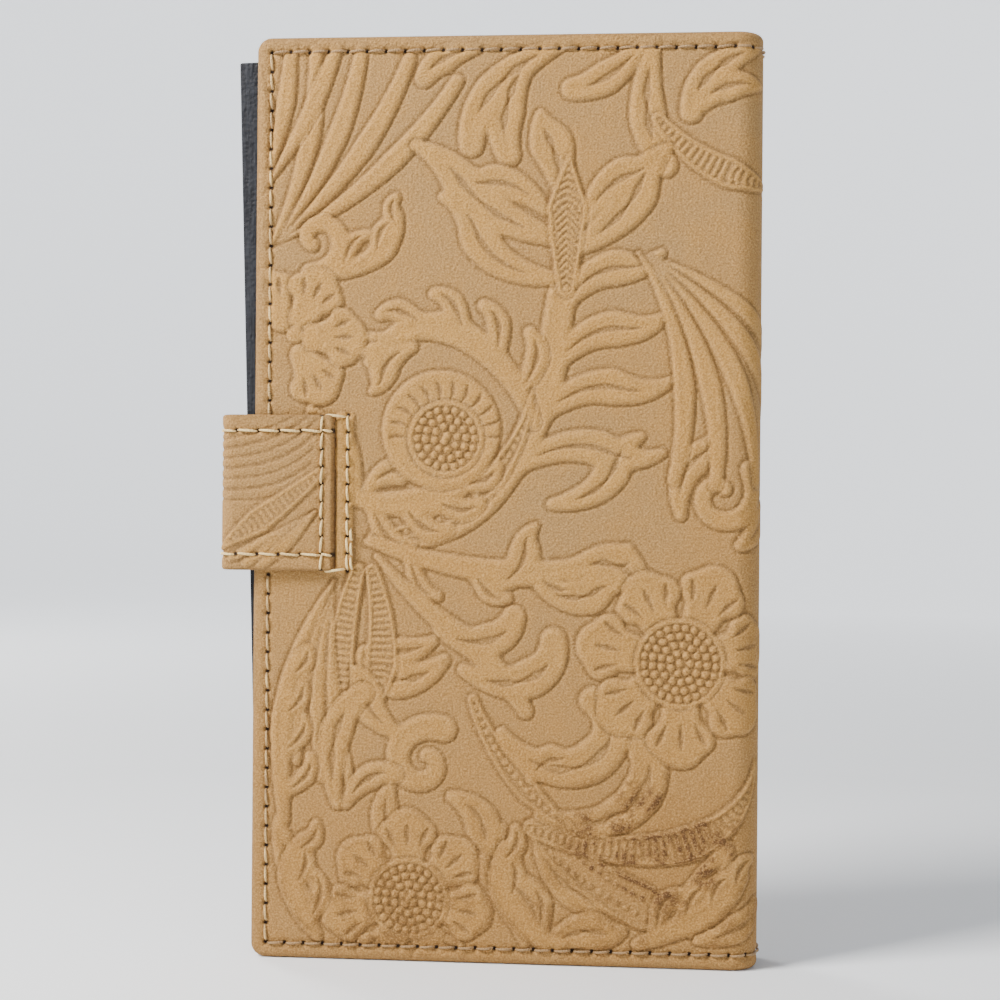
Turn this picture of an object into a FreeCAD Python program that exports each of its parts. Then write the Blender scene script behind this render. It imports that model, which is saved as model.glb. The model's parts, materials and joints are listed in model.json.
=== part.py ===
import FreeCAD, Part
import math
import os
from FreeCAD import Vector

# A closed leather notebook cover, standing upright on its bottom edge like a book.
# +Z runs up the spine, +X points from the fore-edge to the spine, and +Y points from the
# back panel to the front panel. The origin is the middle of the back panel's bottom edge.
# All lengths are in millimetres.

# ---- Cover ----
HEIGHT = 190.0
HALF_WIDTH = 52.0
CLOSED_THICKNESS = 17.0
LEATHER = 1.3
BOARD = 0.8
HEM = 0.9
HEM_WIDTH = 10.0
LINING = 0.6
LINING_INSET = 1.5
CORNER_RADIUS = 2.5
PANEL = LEATHER + BOARD + HEM

BACK_FACE = -PANEL / 2
FRONT_FACE = BACK_FACE + CLOSED_THICKNESS
MIDDLE = (BACK_FACE + FRONT_FACE) / 2
BOARD_FLOOR = BACK_FACE + LEATHER
HEM_FLOOR = BOARD_FLOOR + BOARD
LINING_FLOOR = BACK_FACE + PANEL
LINING_TOP = LINING_FLOOR + LINING

# ---- Spine and its two folds ----
FOLD_INSET = 0.86
FOLD_GAP = 0.05
FOLD_X = HALF_WIDTH - FOLD_INSET
FOLD_Y = BACK_FACE + FOLD_INSET
PANEL_STACK_END = 50.6
BOARD_END = 49.0
SPINE_LEATHER_X = HALF_WIDTH - LEATHER
SPINE_BOARD_X = SPINE_LEATHER_X - BOARD
SPINE_HEM_X = SPINE_BOARD_X - HEM
SPINE_LINING_X = SPINE_HEM_X - LINING
SPINE_STACK_Y = LINING_TOP + 0.1

# ---- Edge stitching ----
THREAD_RADIUS = 0.35
STITCH_PITCH = 4.0
STITCH_LENGTH = 3.0
STITCH_INSET = 3.2

# ---- Strap: root on the back, bridge across the fore-edge, tab on the front ----
STRAP_WIDTH = 32.0
STRAP_Z = 96.0
STRAP_LEATHER = 1.2
STRAP_LINING = 0.8
STRAP = STRAP_LEATHER + STRAP_LINING
STRAP_OUTER_X = -58.7
STRAP_BOTTOM = STRAP_Z - STRAP_WIDTH / 2
STRAP_TOP = STRAP_Z + STRAP_WIDTH / 2
STRAP_BEND_RADIUS = 2.5
STRAP_PITCH = 4.5
STRAP_STITCH_LENGTH = 3.6
STRAP_STITCH_INSET = 3.3
TAB_CLEARANCE = 1.4
TAB_END_X = -19.0
TAB_END_RADIUS = 11.0
SLIT_X = -34.7
SLIT_WIDTH = 1.6
TONGUE_LENGTH = 5.0
BOX_LEFT_X = -37.4
BOX_RIGHT_X = -32.2
BOX_PITCH = 3.4
BOX_STITCH_LENGTH = 2.6

ROOT_FACE = BACK_FACE - STRAP
ROOT_GLUE = ROOT_FACE + STRAP_LEATHER
TAB_FLOOR = FRONT_FACE + TAB_CLEARANCE
TAB_GLUE = TAB_FLOOR + STRAP_LINING
TAB_FACE = TAB_FLOOR + STRAP
STRAP_INNER_X = STRAP_OUTER_X + STRAP
STRAP_GLUE_X = STRAP_OUTER_X + STRAP_LEATHER
# A strip that straightens from a quarter bend keeps its length when it turns about this point.
BEND_INSET = STRAP / 2 + (1 - math.pi / 4) * STRAP_BEND_RADIUS
BEND_X = STRAP_OUTER_X + BEND_INSET
ROOT_BEND_Y = ROOT_FACE + BEND_INSET
TAB_BEND_Y = TAB_FACE - BEND_INSET

# ---- Press stud ----
SNAP_X = -30.0
SNAP_Z = STRAP_Z
CAP_RADIUS = 6.25
CAP_HEIGHT = 1.2
SOCKET_RADIUS = 5.0
SOCKET_BORE = 2.5
SOCKET_FLOOR = FRONT_FACE + 0.5
SOCKET_ROOF = TAB_GLUE - 0.5
BARREL_RADIUS = 1.55
BARREL_FLARE_RADIUS = 1.95
BARREL_FLARE = 0.2
STUD_FLANGE_RADIUS = 5.0
STUD_FLANGE = 0.45
STUD_RADIUS = 2.1
STUD_TOP = FRONT_FACE + 1.35
RIVET_RADIUS = 1.5
RIVET_HEAD_RADIUS = 3.5
RIVET_HEAD = 0.4
SPRING_BORE = 2.18
SPRING_DEPTH = 0.2
SPRING_HEIGHT = 0.5
SPRING_GAP_DEGREES = 60.0
METAL_CLEARANCE = 0.02

# ---- Card pockets inside the front half ----
POCKET = 0.5
POCKET_LEFT_X = -49.5
POCKET_RIGHT_X = 46.5
POCKET_BOTTOM_Z = 2.0
POCKET_FIRST_HEIGHT = 56.0
POCKET_STEP = 16.0
POCKET_NAMES = ["card_pocket_high", "card_pocket_middle", "card_pocket_low"]
POCKET_STITCH_INSET = 1.4
POCKET_THREAD_RADIUS = 0.2
POCKET_STITCH_LENGTH = 2.8

# ---- Notebook: leans in the cover, so its top sticks out past the fore-edge ----
BOOK_WIDTH = 98.0
BOOK_HEIGHT = 179.0
BOOK_LEAN_DEGREES = 1.6
BOOK_FOLD_X = 44.0
BOOK_FOLD_Y = 6.3
BOOK_MIDDLE_Z = 98.9
BOOK_HALF = 3.75
BOOK_COVER = 0.7
BOOK_GAP = 0.05
PAGE_INSET = 2.0
GUTTER_DEPTH = 1.85
GUTTER_WIDTH = 2.3
CORD_RADIUS = 0.6
CORD_OFFSET = 1.4
CORD_END_CLEARANCE = 0.7
STAPLE_RADIUS = 0.25
STAPLE_DEPTH = 0.95
STAPLE_OFFSET = 1.45
STAPLE_LENGTH = 12.0
STAPLE_SPACING = 90.0


def box(x0, x1, y0, y1, z0, z1):
    return Part.makeBox(x1 - x0, y1 - y0, z1 - z0, Vector(x0, y0, z0))


def column(outline, z0, z1):
    """A closed outline of (x, y) points, extruded from z0 to z1."""
    points = [Vector(x, y, z0) for x, y in outline]
    wire = Part.makePolygon(points + points[:1])
    return Part.Face(wire).extrude(Vector(0, 0, z1 - z0))


def disc(radius, y0, y1, x=SNAP_X, z=SNAP_Z):
    """A round disc lying across the thickness of the cover."""
    return Part.makeCylinder(radius, y1 - y0, Vector(x, y0, z), Vector(0, 1, 0))


def slab(x0, x1, z0, z1, y0, y1, left_radius=0.0, right_radius=0.0):
    """A flat sheet with rounded corners at its left and right ends."""
    sheet = box(x0, x1, y0, y1, z0, z1)
    for radius, edge_x in ((left_radius, x0), (right_radius, x1)):
        if radius > 0:
            corners = [e for e in sheet.Edges if is_corner(e, edge_x)]
            sheet = sheet.makeFillet(radius, corners)
    return sheet


def is_corner(edge, edge_x):
    """True for an edge that runs along Y at the given x."""
    box_of_edge = edge.BoundBox
    across = box_of_edge.XLength + box_of_edge.ZLength < 1e-6
    return across and abs(box_of_edge.XMin - edge_x) < 1e-6


def to_front(shape):
    """The mirror image of a back-half shape in the middle plane of the closed cover."""
    return shape.mirror(Vector(0, MIDDLE, 0), Vector(0, 1, 0))


def thread(start, end, outward, radius=THREAD_RADIUS):
    """One visible stitch: a half-round rod lying on a face whose normal is outward."""
    along = (end - start).normalize()
    side = along.cross(outward).normalize() * radius
    top = start + outward * radius
    arc = Part.Arc(start - side, top, start + side).toShape()
    base = Part.LineSegment(start + side, start - side).toShape()
    return Part.Face(Part.Wire([arc, base])).extrude(end - start)


def stitch_row(start, end, outward, pitch, length, radius=THREAD_RADIUS):
    """Evenly spaced stitches, as near to the pitch as fits between start and end."""
    span = (end - start).Length
    count = max(1, round(span / pitch))
    step = (end - start) / count
    lead = step * ((1 - length / pitch) / 2)
    return [
        thread(start + step * i + lead, start + step * (i + 1) - lead, outward, radius)
        for i in range(count)
    ]


def group(solids):
    return Part.makeCompound(solids)


# ---- Cover panels ----


def panel_leather():
    """The back leather: outer face, turned edges and hem in one folded sheet."""
    sheet = slab(-HALF_WIDTH, HALF_WIDTH, 0, HEIGHT, BACK_FACE, LINING_FLOOR, CORNER_RADIUS)
    end = FOLD_X - FOLD_GAP
    miter = FOLD_GAP * math.sqrt(2)
    beyond_fold = column(
        [
            (end, BACK_FACE - 1),
            (end, FOLD_Y + FOLD_GAP - miter),
            (SPINE_LEATHER_X - miter, BOARD_FLOOR),
            (PANEL_STACK_END, BOARD_FLOOR),
            (PANEL_STACK_END, LINING_TOP),
            (HALF_WIDTH + 1, LINING_TOP),
            (HALF_WIDTH + 1, BACK_FACE - 1),
        ],
        -1,
        HEIGHT + 1,
    )
    return sheet.cut(beyond_fold).cut(board_space())


def board_space():
    """The room inside the turned leather that the board fills."""
    flat = box(
        LEATHER - HALF_WIDTH, HALF_WIDTH, BOARD_FLOOR, HEM_FLOOR, LEATHER, HEIGHT - LEATHER
    )
    core = box(
        HEM_WIDTH - HALF_WIDTH,
        HALF_WIDTH,
        BOARD_FLOOR,
        LINING_FLOOR,
        HEM_WIDTH,
        HEIGHT - HEM_WIDTH,
    )
    return flat.fuse(core)


def panel_board():
    return board_space().common(
        box(-HALF_WIDTH, BOARD_END, BACK_FACE, LINING_TOP, 0, HEIGHT)
    )


def panel_lining():
    return slab(
        LINING_INSET - HALF_WIDTH,
        PANEL_STACK_END,
        LINING_INSET,
        HEIGHT - LINING_INSET,
        LINING_FLOOR,
        LINING_TOP,
        CORNER_RADIUS,
    )


def back_leather():
    return panel_leather().cut(strap_slit())


def back_board():
    """The board is thinned under the tongue of the strap."""
    tongue_room = box(
        SLIT_X - SLIT_WIDTH,
        SLIT_X + TONGUE_LENGTH,
        BOARD_FLOOR,
        HEM_FLOOR,
        STRAP_BOTTOM,
        STRAP_TOP,
    )
    return panel_board().cut(tongue_room)


def front_leather():
    return to_front(panel_leather()).cut(disc(RIVET_RADIUS, MIDDLE, FRONT_FACE + 1))


def front_board():
    rivet_room = disc(RIVET_RADIUS, MIDDLE, FRONT_FACE).fuse(
        disc(
            RIVET_HEAD_RADIUS,
            FRONT_FACE - PANEL,
            FRONT_FACE - PANEL + RIVET_HEAD,
        )
    )
    return to_front(panel_board()).cut(rivet_room)


# ---- Spine ----


def spine_leather():
    """The flat strip between the two folds, with its ends turned in."""
    miter = FOLD_GAP * math.sqrt(2)
    near = FOLD_Y + FOLD_GAP
    far = 2 * MIDDLE - near
    strip = column(
        [
            (HALF_WIDTH, near),
            (FOLD_X - FOLD_GAP + miter, near),
            (SPINE_LEATHER_X, BOARD_FLOOR + miter),
            (SPINE_LEATHER_X, 2 * MIDDLE - BOARD_FLOOR - miter),
            (FOLD_X - FOLD_GAP + miter, far),
            (HALF_WIDTH, far),
        ],
        0,
        HEIGHT,
    )
    far_stack = 2 * MIDDLE - SPINE_STACK_Y
    turned = box(SPINE_HEM_X, SPINE_LEATHER_X, SPINE_STACK_Y, far_stack, 0, HEIGHT)
    inside = box(
        SPINE_BOARD_X, SPINE_LEATHER_X, SPINE_STACK_Y, far_stack, LEATHER, HEIGHT - LEATHER
    )
    window = box(
        SPINE_HEM_X, SPINE_BOARD_X, SPINE_STACK_Y, far_stack, HEM_WIDTH, HEIGHT - HEM_WIDTH
    )
    return strip.fuse(turned.cut(inside).cut(window)).removeSplitter()


def spine_stiffener():
    return box(
        SPINE_BOARD_X,
        SPINE_LEATHER_X,
        SPINE_STACK_Y,
        2 * MIDDLE - SPINE_STACK_Y,
        LEATHER,
        HEIGHT - LEATHER,
    )


def spine_lining():
    return box(
        SPINE_LINING_X,
        SPINE_HEM_X,
        SPINE_STACK_Y,
        2 * MIDDLE - SPINE_STACK_Y,
        LINING_INSET,
        HEIGHT - LINING_INSET,
    )


# ---- Edge stitching ----


def panel_edge_stitches(skip_strap):
    """Stitch rows along the fore-edge, the bottom and the top of the back face."""
    out = Vector(0, -1, 0)
    left = STITCH_INSET - HALF_WIDTH
    right = FOLD_X - FOLD_GAP
    low = STITCH_INSET
    high = HEIGHT - STITCH_INSET
    stitches = []
    for z in (low, high):
        row_start = Vector(left, BACK_FACE, z)
        row_end = Vector(right, BACK_FACE, z)
        stitches += stitch_row(row_start, row_end, out, STITCH_PITCH, STITCH_LENGTH)
    column_start = Vector(left, BACK_FACE, low)
    column_end = Vector(left, BACK_FACE, high)
    for stitch in stitch_row(column_start, column_end, out, STITCH_PITCH, STITCH_LENGTH):
        extent = stitch.BoundBox
        under_strap = extent.ZMax > STRAP_BOTTOM and extent.ZMin < STRAP_TOP
        if not (skip_strap and under_strap):
            stitches.append(stitch)
    return stitches


def back_edge_stitches():
    return group(panel_edge_stitches(skip_strap=True))


def front_edge_stitches():
    return group([to_front(stitch) for stitch in panel_edge_stitches(skip_strap=False)])


def spine_stitches():
    out = Vector(1, 0, 0)
    stitches = []
    for z in (STITCH_INSET, HEIGHT - STITCH_INSET):
        start = Vector(HALF_WIDTH, FOLD_Y + FOLD_GAP, z)
        end = Vector(HALF_WIDTH, 2 * MIDDLE - FOLD_Y - FOLD_GAP, z)
        stitches += stitch_row(start, end, out, STITCH_PITCH, STITCH_LENGTH)
    return group(stitches)


# ---- Strap ----


def strap_slit():
    return box(
        SLIT_X - SLIT_WIDTH, SLIT_X, BACK_FACE - 1, BOARD_FLOOR + 0.1, STRAP_BOTTOM, STRAP_TOP
    )


def strap_root_leather():
    """Outer layer on the back. It steps through the slit and ends in a hidden tongue."""
    end = BEND_X + FOLD_GAP
    outline = [
        (end, ROOT_FACE),
        (SLIT_X, ROOT_FACE),
        (SLIT_X, BOARD_FLOOR),
        (SLIT_X + TONGUE_LENGTH, BOARD_FLOOR),
        (SLIT_X + TONGUE_LENGTH, HEM_FLOOR),
        (SLIT_X - SLIT_WIDTH, HEM_FLOOR),
        (SLIT_X - SLIT_WIDTH, ROOT_GLUE),
        (end, ROOT_GLUE),
    ]
    return column(outline, STRAP_BOTTOM, STRAP_TOP)


def strap_root_lining():
    miter = FOLD_GAP * math.sqrt(2)
    rise = BACK_FACE - ROOT_BEND_Y
    outline = [
        (BEND_X + FOLD_GAP, ROOT_GLUE),
        (SLIT_X - SLIT_WIDTH, ROOT_GLUE),
        (SLIT_X - SLIT_WIDTH, BACK_FACE),
        (BEND_X + rise + miter, BACK_FACE),
        (BEND_X + miter, ROOT_BEND_Y),
    ]
    return column(outline, STRAP_BOTTOM, STRAP_TOP)


def strap_bridge_leather():
    return box(
        STRAP_OUTER_X,
        STRAP_GLUE_X,
        ROOT_BEND_Y + FOLD_GAP,
        TAB_BEND_Y - FOLD_GAP,
        STRAP_BOTTOM,
        STRAP_TOP,
    )


def strap_bridge_lining():
    miter = FOLD_GAP * math.sqrt(2)
    run = STRAP_INNER_X - BEND_X
    outline = [
        (STRAP_GLUE_X, ROOT_BEND_Y + FOLD_GAP),
        (BEND_X, ROOT_BEND_Y + miter),
        (STRAP_INNER_X, ROOT_BEND_Y + run + miter),
        (STRAP_INNER_X, TAB_BEND_Y - run - miter),
        (BEND_X, TAB_BEND_Y - miter),
        (STRAP_GLUE_X, TAB_BEND_Y - FOLD_GAP),
    ]
    return column(outline, STRAP_BOTTOM, STRAP_TOP)


def strap_tab_leather():
    sheet = slab(
        BEND_X + FOLD_GAP,
        TAB_END_X,
        STRAP_BOTTOM,
        STRAP_TOP,
        TAB_GLUE,
        TAB_FACE,
        right_radius=TAB_END_RADIUS,
    )
    return sheet.cut(disc(BARREL_RADIUS + METAL_CLEARANCE, TAB_GLUE, TAB_FACE))


def strap_tab_lining():
    miter = FOLD_GAP * math.sqrt(2)
    depth = TAB_BEND_Y - TAB_FLOOR
    sheet = slab(
        STRAP_OUTER_X,
        TAB_END_X,
        STRAP_BOTTOM,
        STRAP_TOP,
        TAB_FLOOR,
        TAB_GLUE,
        right_radius=TAB_END_RADIUS,
    )
    beyond_bend = column(
        [
            (STRAP_OUTER_X - 1, TAB_FLOOR - 1),
            (BEND_X + depth + miter, TAB_FLOOR - 1),
            (BEND_X + depth + miter, TAB_FLOOR),
            (BEND_X + miter, TAB_BEND_Y),
            (BEND_X + FOLD_GAP, TAB_FACE),
            (STRAP_OUTER_X - 1, TAB_FACE),
        ],
        STRAP_BOTTOM - 1,
        STRAP_TOP + 1,
    )
    socket_room = disc(SOCKET_RADIUS + METAL_CLEARANCE, TAB_FLOOR, TAB_GLUE)
    return sheet.cut(beyond_bend).cut(socket_room)


def strap_rows(start_point, end_point, outward):
    """The two stitch rows that run along both long edges of the strap."""
    stitches = []
    for z in (STRAP_BOTTOM + STRAP_STITCH_INSET, STRAP_TOP - STRAP_STITCH_INSET):
        start = Vector(start_point[0], start_point[1], z)
        end = Vector(end_point[0], end_point[1], z)
        stitches += stitch_row(start, end, outward, STRAP_PITCH, STRAP_STITCH_LENGTH)
    return stitches


def strap_root_stitches():
    start = (BEND_X + FOLD_GAP, ROOT_FACE)
    end = (BOX_LEFT_X - THREAD_RADIUS, ROOT_FACE)
    return group(strap_rows(start, end, Vector(0, -1, 0)))


def strap_bridge_stitches():
    start = (STRAP_OUTER_X, ROOT_BEND_Y + FOLD_GAP)
    end = (STRAP_OUTER_X, TAB_BEND_Y - FOLD_GAP)
    return group(strap_rows(start, end, Vector(-1, 0, 0)))


def strap_tab_stitches():
    """Both long rows and the row across the end of the tab."""
    out = Vector(0, 1, 0)
    row_end_x = TAB_END_X - TAB_END_RADIUS
    stitches = strap_rows((BEND_X + FOLD_GAP, TAB_FACE), (row_end_x, TAB_FACE), out)
    centre_low = Vector(row_end_x, TAB_FACE, STRAP_BOTTOM + TAB_END_RADIUS)
    centre_high = Vector(row_end_x, TAB_FACE, STRAP_TOP - TAB_END_RADIUS)
    radius = TAB_END_RADIUS - STRAP_STITCH_INSET
    for centre, first_degrees in ((centre_low, -90), (centre_high, 0)):
        stitches += arc_stitches(centre, radius, first_degrees, out)
    across = radius * Vector(1, 0, 0)
    stitches += stitch_row(
        centre_low + across, centre_high + across, out, STRAP_PITCH, STRAP_STITCH_LENGTH
    )
    return group(stitches)


def arc_stitches(centre, radius, first_degrees, outward):
    """Straight stitches laid round a quarter circle."""
    count = round(radius * math.pi / 2 / STRAP_PITCH)
    step = 90.0 / count
    lead = step * (1 - STRAP_STITCH_LENGTH / STRAP_PITCH) / 2
    stitches = []
    for i in range(count):
        start = round_point(first_degrees + step * i + lead)
        end = round_point(first_degrees + step * (i + 1) - lead)
        stitches.append(thread(centre + radius * start, centre + radius * end, outward))
    return stitches


def round_point(degrees):
    angle = math.radians(degrees)
    return Vector(math.cos(angle), 0, math.sin(angle))


def strap_box_stitches():
    """Box stitch round the slit: one side on the strap, the other through its tongue."""
    out = Vector(0, -1, 0)
    low = STRAP_BOTTOM + THREAD_RADIUS
    high = STRAP_TOP - THREAD_RADIUS
    stitches = stitch_row(
        Vector(BOX_LEFT_X, ROOT_FACE, low),
        Vector(BOX_LEFT_X, ROOT_FACE, high),
        out,
        BOX_PITCH,
        BOX_STITCH_LENGTH,
    )
    stitches += stitch_row(
        Vector(BOX_RIGHT_X, BACK_FACE, low),
        Vector(BOX_RIGHT_X, BACK_FACE, high),
        out,
        BOX_PITCH,
        BOX_STITCH_LENGTH,
    )
    beside_strap = 1.5 * THREAD_RADIUS
    for z in (STRAP_BOTTOM - beside_strap, STRAP_TOP + beside_strap):
        start = Vector(BOX_LEFT_X, BACK_FACE, z)
        end = Vector(BOX_RIGHT_X, BACK_FACE, z)
        stitches += stitch_row(start, end, out, BOX_PITCH, BOX_STITCH_LENGTH)
    return group(stitches)


# ---- Press stud ----


def snap_stud():
    """Male half: a flange on the front leather and a hollow stud."""
    flange = disc(STUD_FLANGE_RADIUS, FRONT_FACE, FRONT_FACE + STUD_FLANGE)
    post = disc(STUD_RADIUS, FRONT_FACE, STUD_TOP)
    hollow = disc(RIVET_RADIUS + METAL_CLEARANCE, FRONT_FACE, STUD_TOP - STUD_FLANGE)
    return flange.fuse(post).cut(hollow)


def snap_stud_rivet():
    """Rivet whose head sits in the front board and whose shank fills the stud."""
    floor = FRONT_FACE - PANEL
    head = disc(RIVET_HEAD_RADIUS - METAL_CLEARANCE, floor, floor + RIVET_HEAD)
    shank = disc(RIVET_RADIUS - METAL_CLEARANCE, floor, STUD_TOP - STUD_FLANGE)
    return head.fuse(shank)


def snap_socket():
    """Female half: a cup that takes the stud, set into the lining of the tab."""
    cup = disc(SOCKET_RADIUS, SOCKET_FLOOR, TAB_GLUE)
    bore = disc(SOCKET_BORE, SOCKET_FLOOR, SOCKET_ROOF)
    barrel_hole = disc(BARREL_RADIUS + METAL_CLEARANCE, SOCKET_ROOF, TAB_GLUE)
    return cup.cut(bore).cut(barrel_hole)


def snap_spring():
    """Split ring that grips the head of the stud."""
    floor = SOCKET_FLOOR + SPRING_DEPTH
    ring = disc(SOCKET_BORE - METAL_CLEARANCE, floor, floor + SPRING_HEIGHT)
    ring = ring.cut(disc(SPRING_BORE, floor, floor + SPRING_HEIGHT))
    half_gap = SOCKET_BORE * math.tan(math.radians(SPRING_GAP_DEGREES / 2))
    gap = box(
        SNAP_X,
        SNAP_X + 2 * SOCKET_BORE,
        floor,
        floor + SPRING_HEIGHT,
        SNAP_Z - half_gap,
        SNAP_Z + half_gap,
    )
    return ring.cut(gap)


def snap_cap():
    """Domed cap on the outside of the tab, with the barrel that clamps the socket."""
    sphere_radius = (CAP_RADIUS**2 + CAP_HEIGHT**2) / (2 * CAP_HEIGHT)
    centre = Vector(SNAP_X, TAB_FACE + CAP_HEIGHT - sphere_radius, SNAP_Z)
    dome = Part.makeSphere(sphere_radius, centre).common(
        disc(CAP_RADIUS + 1, TAB_FACE, TAB_FACE + CAP_HEIGHT + 1)
    )
    barrel = disc(BARREL_RADIUS, SOCKET_ROOF - BARREL_FLARE, TAB_FACE)
    flare = disc(BARREL_FLARE_RADIUS, SOCKET_ROOF - BARREL_FLARE, SOCKET_ROOF)
    return dome.fuse(barrel).fuse(flare).removeSplitter()


# ---- Card pockets ----


def card_pocket(layer):
    """Pocket sheet; layer 0 lies on the lining and is the tallest."""
    top_of_layer = FRONT_FACE - PANEL - LINING - layer * POCKET
    height = POCKET_FIRST_HEIGHT + (len(POCKET_NAMES) - 1 - layer) * POCKET_STEP
    return box(
        POCKET_LEFT_X,
        POCKET_RIGHT_X,
        top_of_layer - POCKET,
        top_of_layer,
        POCKET_BOTTOM_Z,
        POCKET_BOTTOM_Z + height,
    )


def card_pocket_stitches():
    """The visible side rows that close the lowest pocket."""
    face = FRONT_FACE - PANEL - LINING - len(POCKET_NAMES) * POCKET
    top = POCKET_BOTTOM_Z + POCKET_FIRST_HEIGHT
    stitches = []
    for x in (POCKET_LEFT_X + POCKET_STITCH_INSET, POCKET_RIGHT_X - POCKET_STITCH_INSET):
        stitches += stitch_row(
            Vector(x, face, POCKET_BOTTOM_Z),
            Vector(x, face, top),
            Vector(0, -1, 0),
            STITCH_PITCH,
            POCKET_STITCH_LENGTH,
            POCKET_THREAD_RADIUS,
        )
    return group(stitches)


# ---- Notebook ----


def lean(shape):
    """Lean an upright notebook piece in the cover, about the middle of its fold."""
    middle = Vector(BOOK_FOLD_X, BOOK_FOLD_Y, BOOK_MIDDLE_Z)
    leaning = shape.copy()
    leaning.rotate(middle, Vector(0, 1, 0), -BOOK_LEAN_DEGREES)
    return leaning


def book_low():
    return BOOK_MIDDLE_Z - BOOK_HEIGHT / 2


def book_high():
    return BOOK_MIDDLE_Z + BOOK_HEIGHT / 2


def book_cover_half():
    """Back cover and half of the notebook's own spine, as one bent sheet."""
    left = BOOK_FOLD_X - BOOK_WIDTH
    outer = BOOK_FOLD_Y - BOOK_HALF
    middle = BOOK_FOLD_Y - BOOK_GAP
    spine_x = BOOK_FOLD_X - BOOK_GAP
    outline = [
        (left, outer),
        (spine_x, outer),
        (spine_x, middle),
        (spine_x - BOOK_COVER, middle),
        (spine_x - BOOK_COVER, outer + BOOK_COVER),
        (left, outer + BOOK_COVER),
    ]
    return column(outline, book_low(), book_high())


def book_pages_half():
    """Half of the paper block, cut away at the fold to leave a gutter."""
    left = BOOK_FOLD_X - BOOK_WIDTH + PAGE_INSET
    right = BOOK_FOLD_X - BOOK_GAP - BOOK_COVER
    outer = BOOK_FOLD_Y - BOOK_HALF + BOOK_COVER
    middle = BOOK_FOLD_Y - BOOK_GAP
    outline = [
        (left, outer),
        (right, outer),
        (right, middle - GUTTER_DEPTH),
        (right - GUTTER_WIDTH, middle),
        (left, middle),
    ]
    return column(outline, book_low() + PAGE_INSET, book_high() - PAGE_INSET)


def to_book_front(shape):
    return shape.mirror(Vector(0, BOOK_FOLD_Y, 0), Vector(0, 1, 0))


def notebook_staples():
    """Two wire staples lying in the gutter."""
    wire_x = BOOK_FOLD_X - STAPLE_OFFSET
    wire_y = BOOK_FOLD_Y - STAPLE_DEPTH
    staples = []
    for side in (-1, 1):
        middle_z = BOOK_MIDDLE_Z + side * STAPLE_SPACING / 2
        foot = Vector(wire_x, wire_y, middle_z - STAPLE_LENGTH / 2)
        staples.append(Part.makeCylinder(STAPLE_RADIUS, STAPLE_LENGTH, foot))
    return lean(group(staples))


def notebook_cord():
    """Elastic cord: down the fold of the notebook and into the cover at both ends."""
    x = BOOK_FOLD_X - CORD_OFFSET
    low = book_low() - CORD_END_CLEARANCE
    high = book_high() + CORD_END_CLEARANCE
    run = Part.makeCylinder(CORD_RADIUS, high - low, Vector(x, BOOK_FOLD_Y, low))
    cord = run
    for z in (low, high):
        leg_length = BOOK_FOLD_Y - LINING_TOP
        leg = Part.makeCylinder(
            CORD_RADIUS, leg_length, Vector(x, LINING_TOP, z), Vector(0, 1, 0)
        )
        knee = Part.makeSphere(CORD_RADIUS, Vector(x, BOOK_FOLD_Y, z))
        cord = cord.fuse(leg).fuse(knee)
    return lean(cord.removeSplitter())


def build():
    nodes = {
        "back_leather": back_leather(),
        "back_board": back_board(),
        "back_lining": panel_lining(),
        "back_edge_stitches": back_edge_stitches(),
        "spine_leather": spine_leather(),
        "spine_stiffener": spine_stiffener(),
        "spine_lining": spine_lining(),
        "spine_stitches": spine_stitches(),
        "front_leather": front_leather(),
        "front_board": front_board(),
        "front_lining": to_front(panel_lining()),
        "front_edge_stitches": front_edge_stitches(),
        "strap_root_leather": strap_root_leather(),
        "strap_root_lining": strap_root_lining(),
        "strap_root_stitches": strap_root_stitches(),
        "strap_box_stitches": strap_box_stitches(),
        "strap_bridge_leather": strap_bridge_leather(),
        "strap_bridge_lining": strap_bridge_lining(),
        "strap_bridge_stitches": strap_bridge_stitches(),
        "strap_tab_leather": strap_tab_leather(),
        "strap_tab_lining": strap_tab_lining(),
        "strap_tab_stitches": strap_tab_stitches(),
        "snap_cap": snap_cap(),
        "snap_socket": snap_socket(),
        "snap_spring": snap_spring(),
        "snap_stud": snap_stud(),
        "snap_stud_rivet": snap_stud_rivet(),
        "card_pocket_stitches": card_pocket_stitches(),
        "notebook_back_cover": lean(book_cover_half()),
        "notebook_pages_back": lean(book_pages_half()),
        "notebook_front_cover": lean(to_book_front(book_cover_half())),
        "notebook_pages_front": lean(to_book_front(book_pages_half())),
        "notebook_staples": notebook_staples(),
        "notebook_cord": notebook_cord(),
    }
    for layer, name in enumerate(POCKET_NAMES):
        nodes[name] = card_pocket(layer)
    return nodes


os.makedirs("parts", exist_ok=True)
for node_name, node_shape in build().items():
    node_shape.exportStep(f"parts/{node_name}.step")
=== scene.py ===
import json
import math

import bpy
import numpy as np
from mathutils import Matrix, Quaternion, Vector


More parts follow.
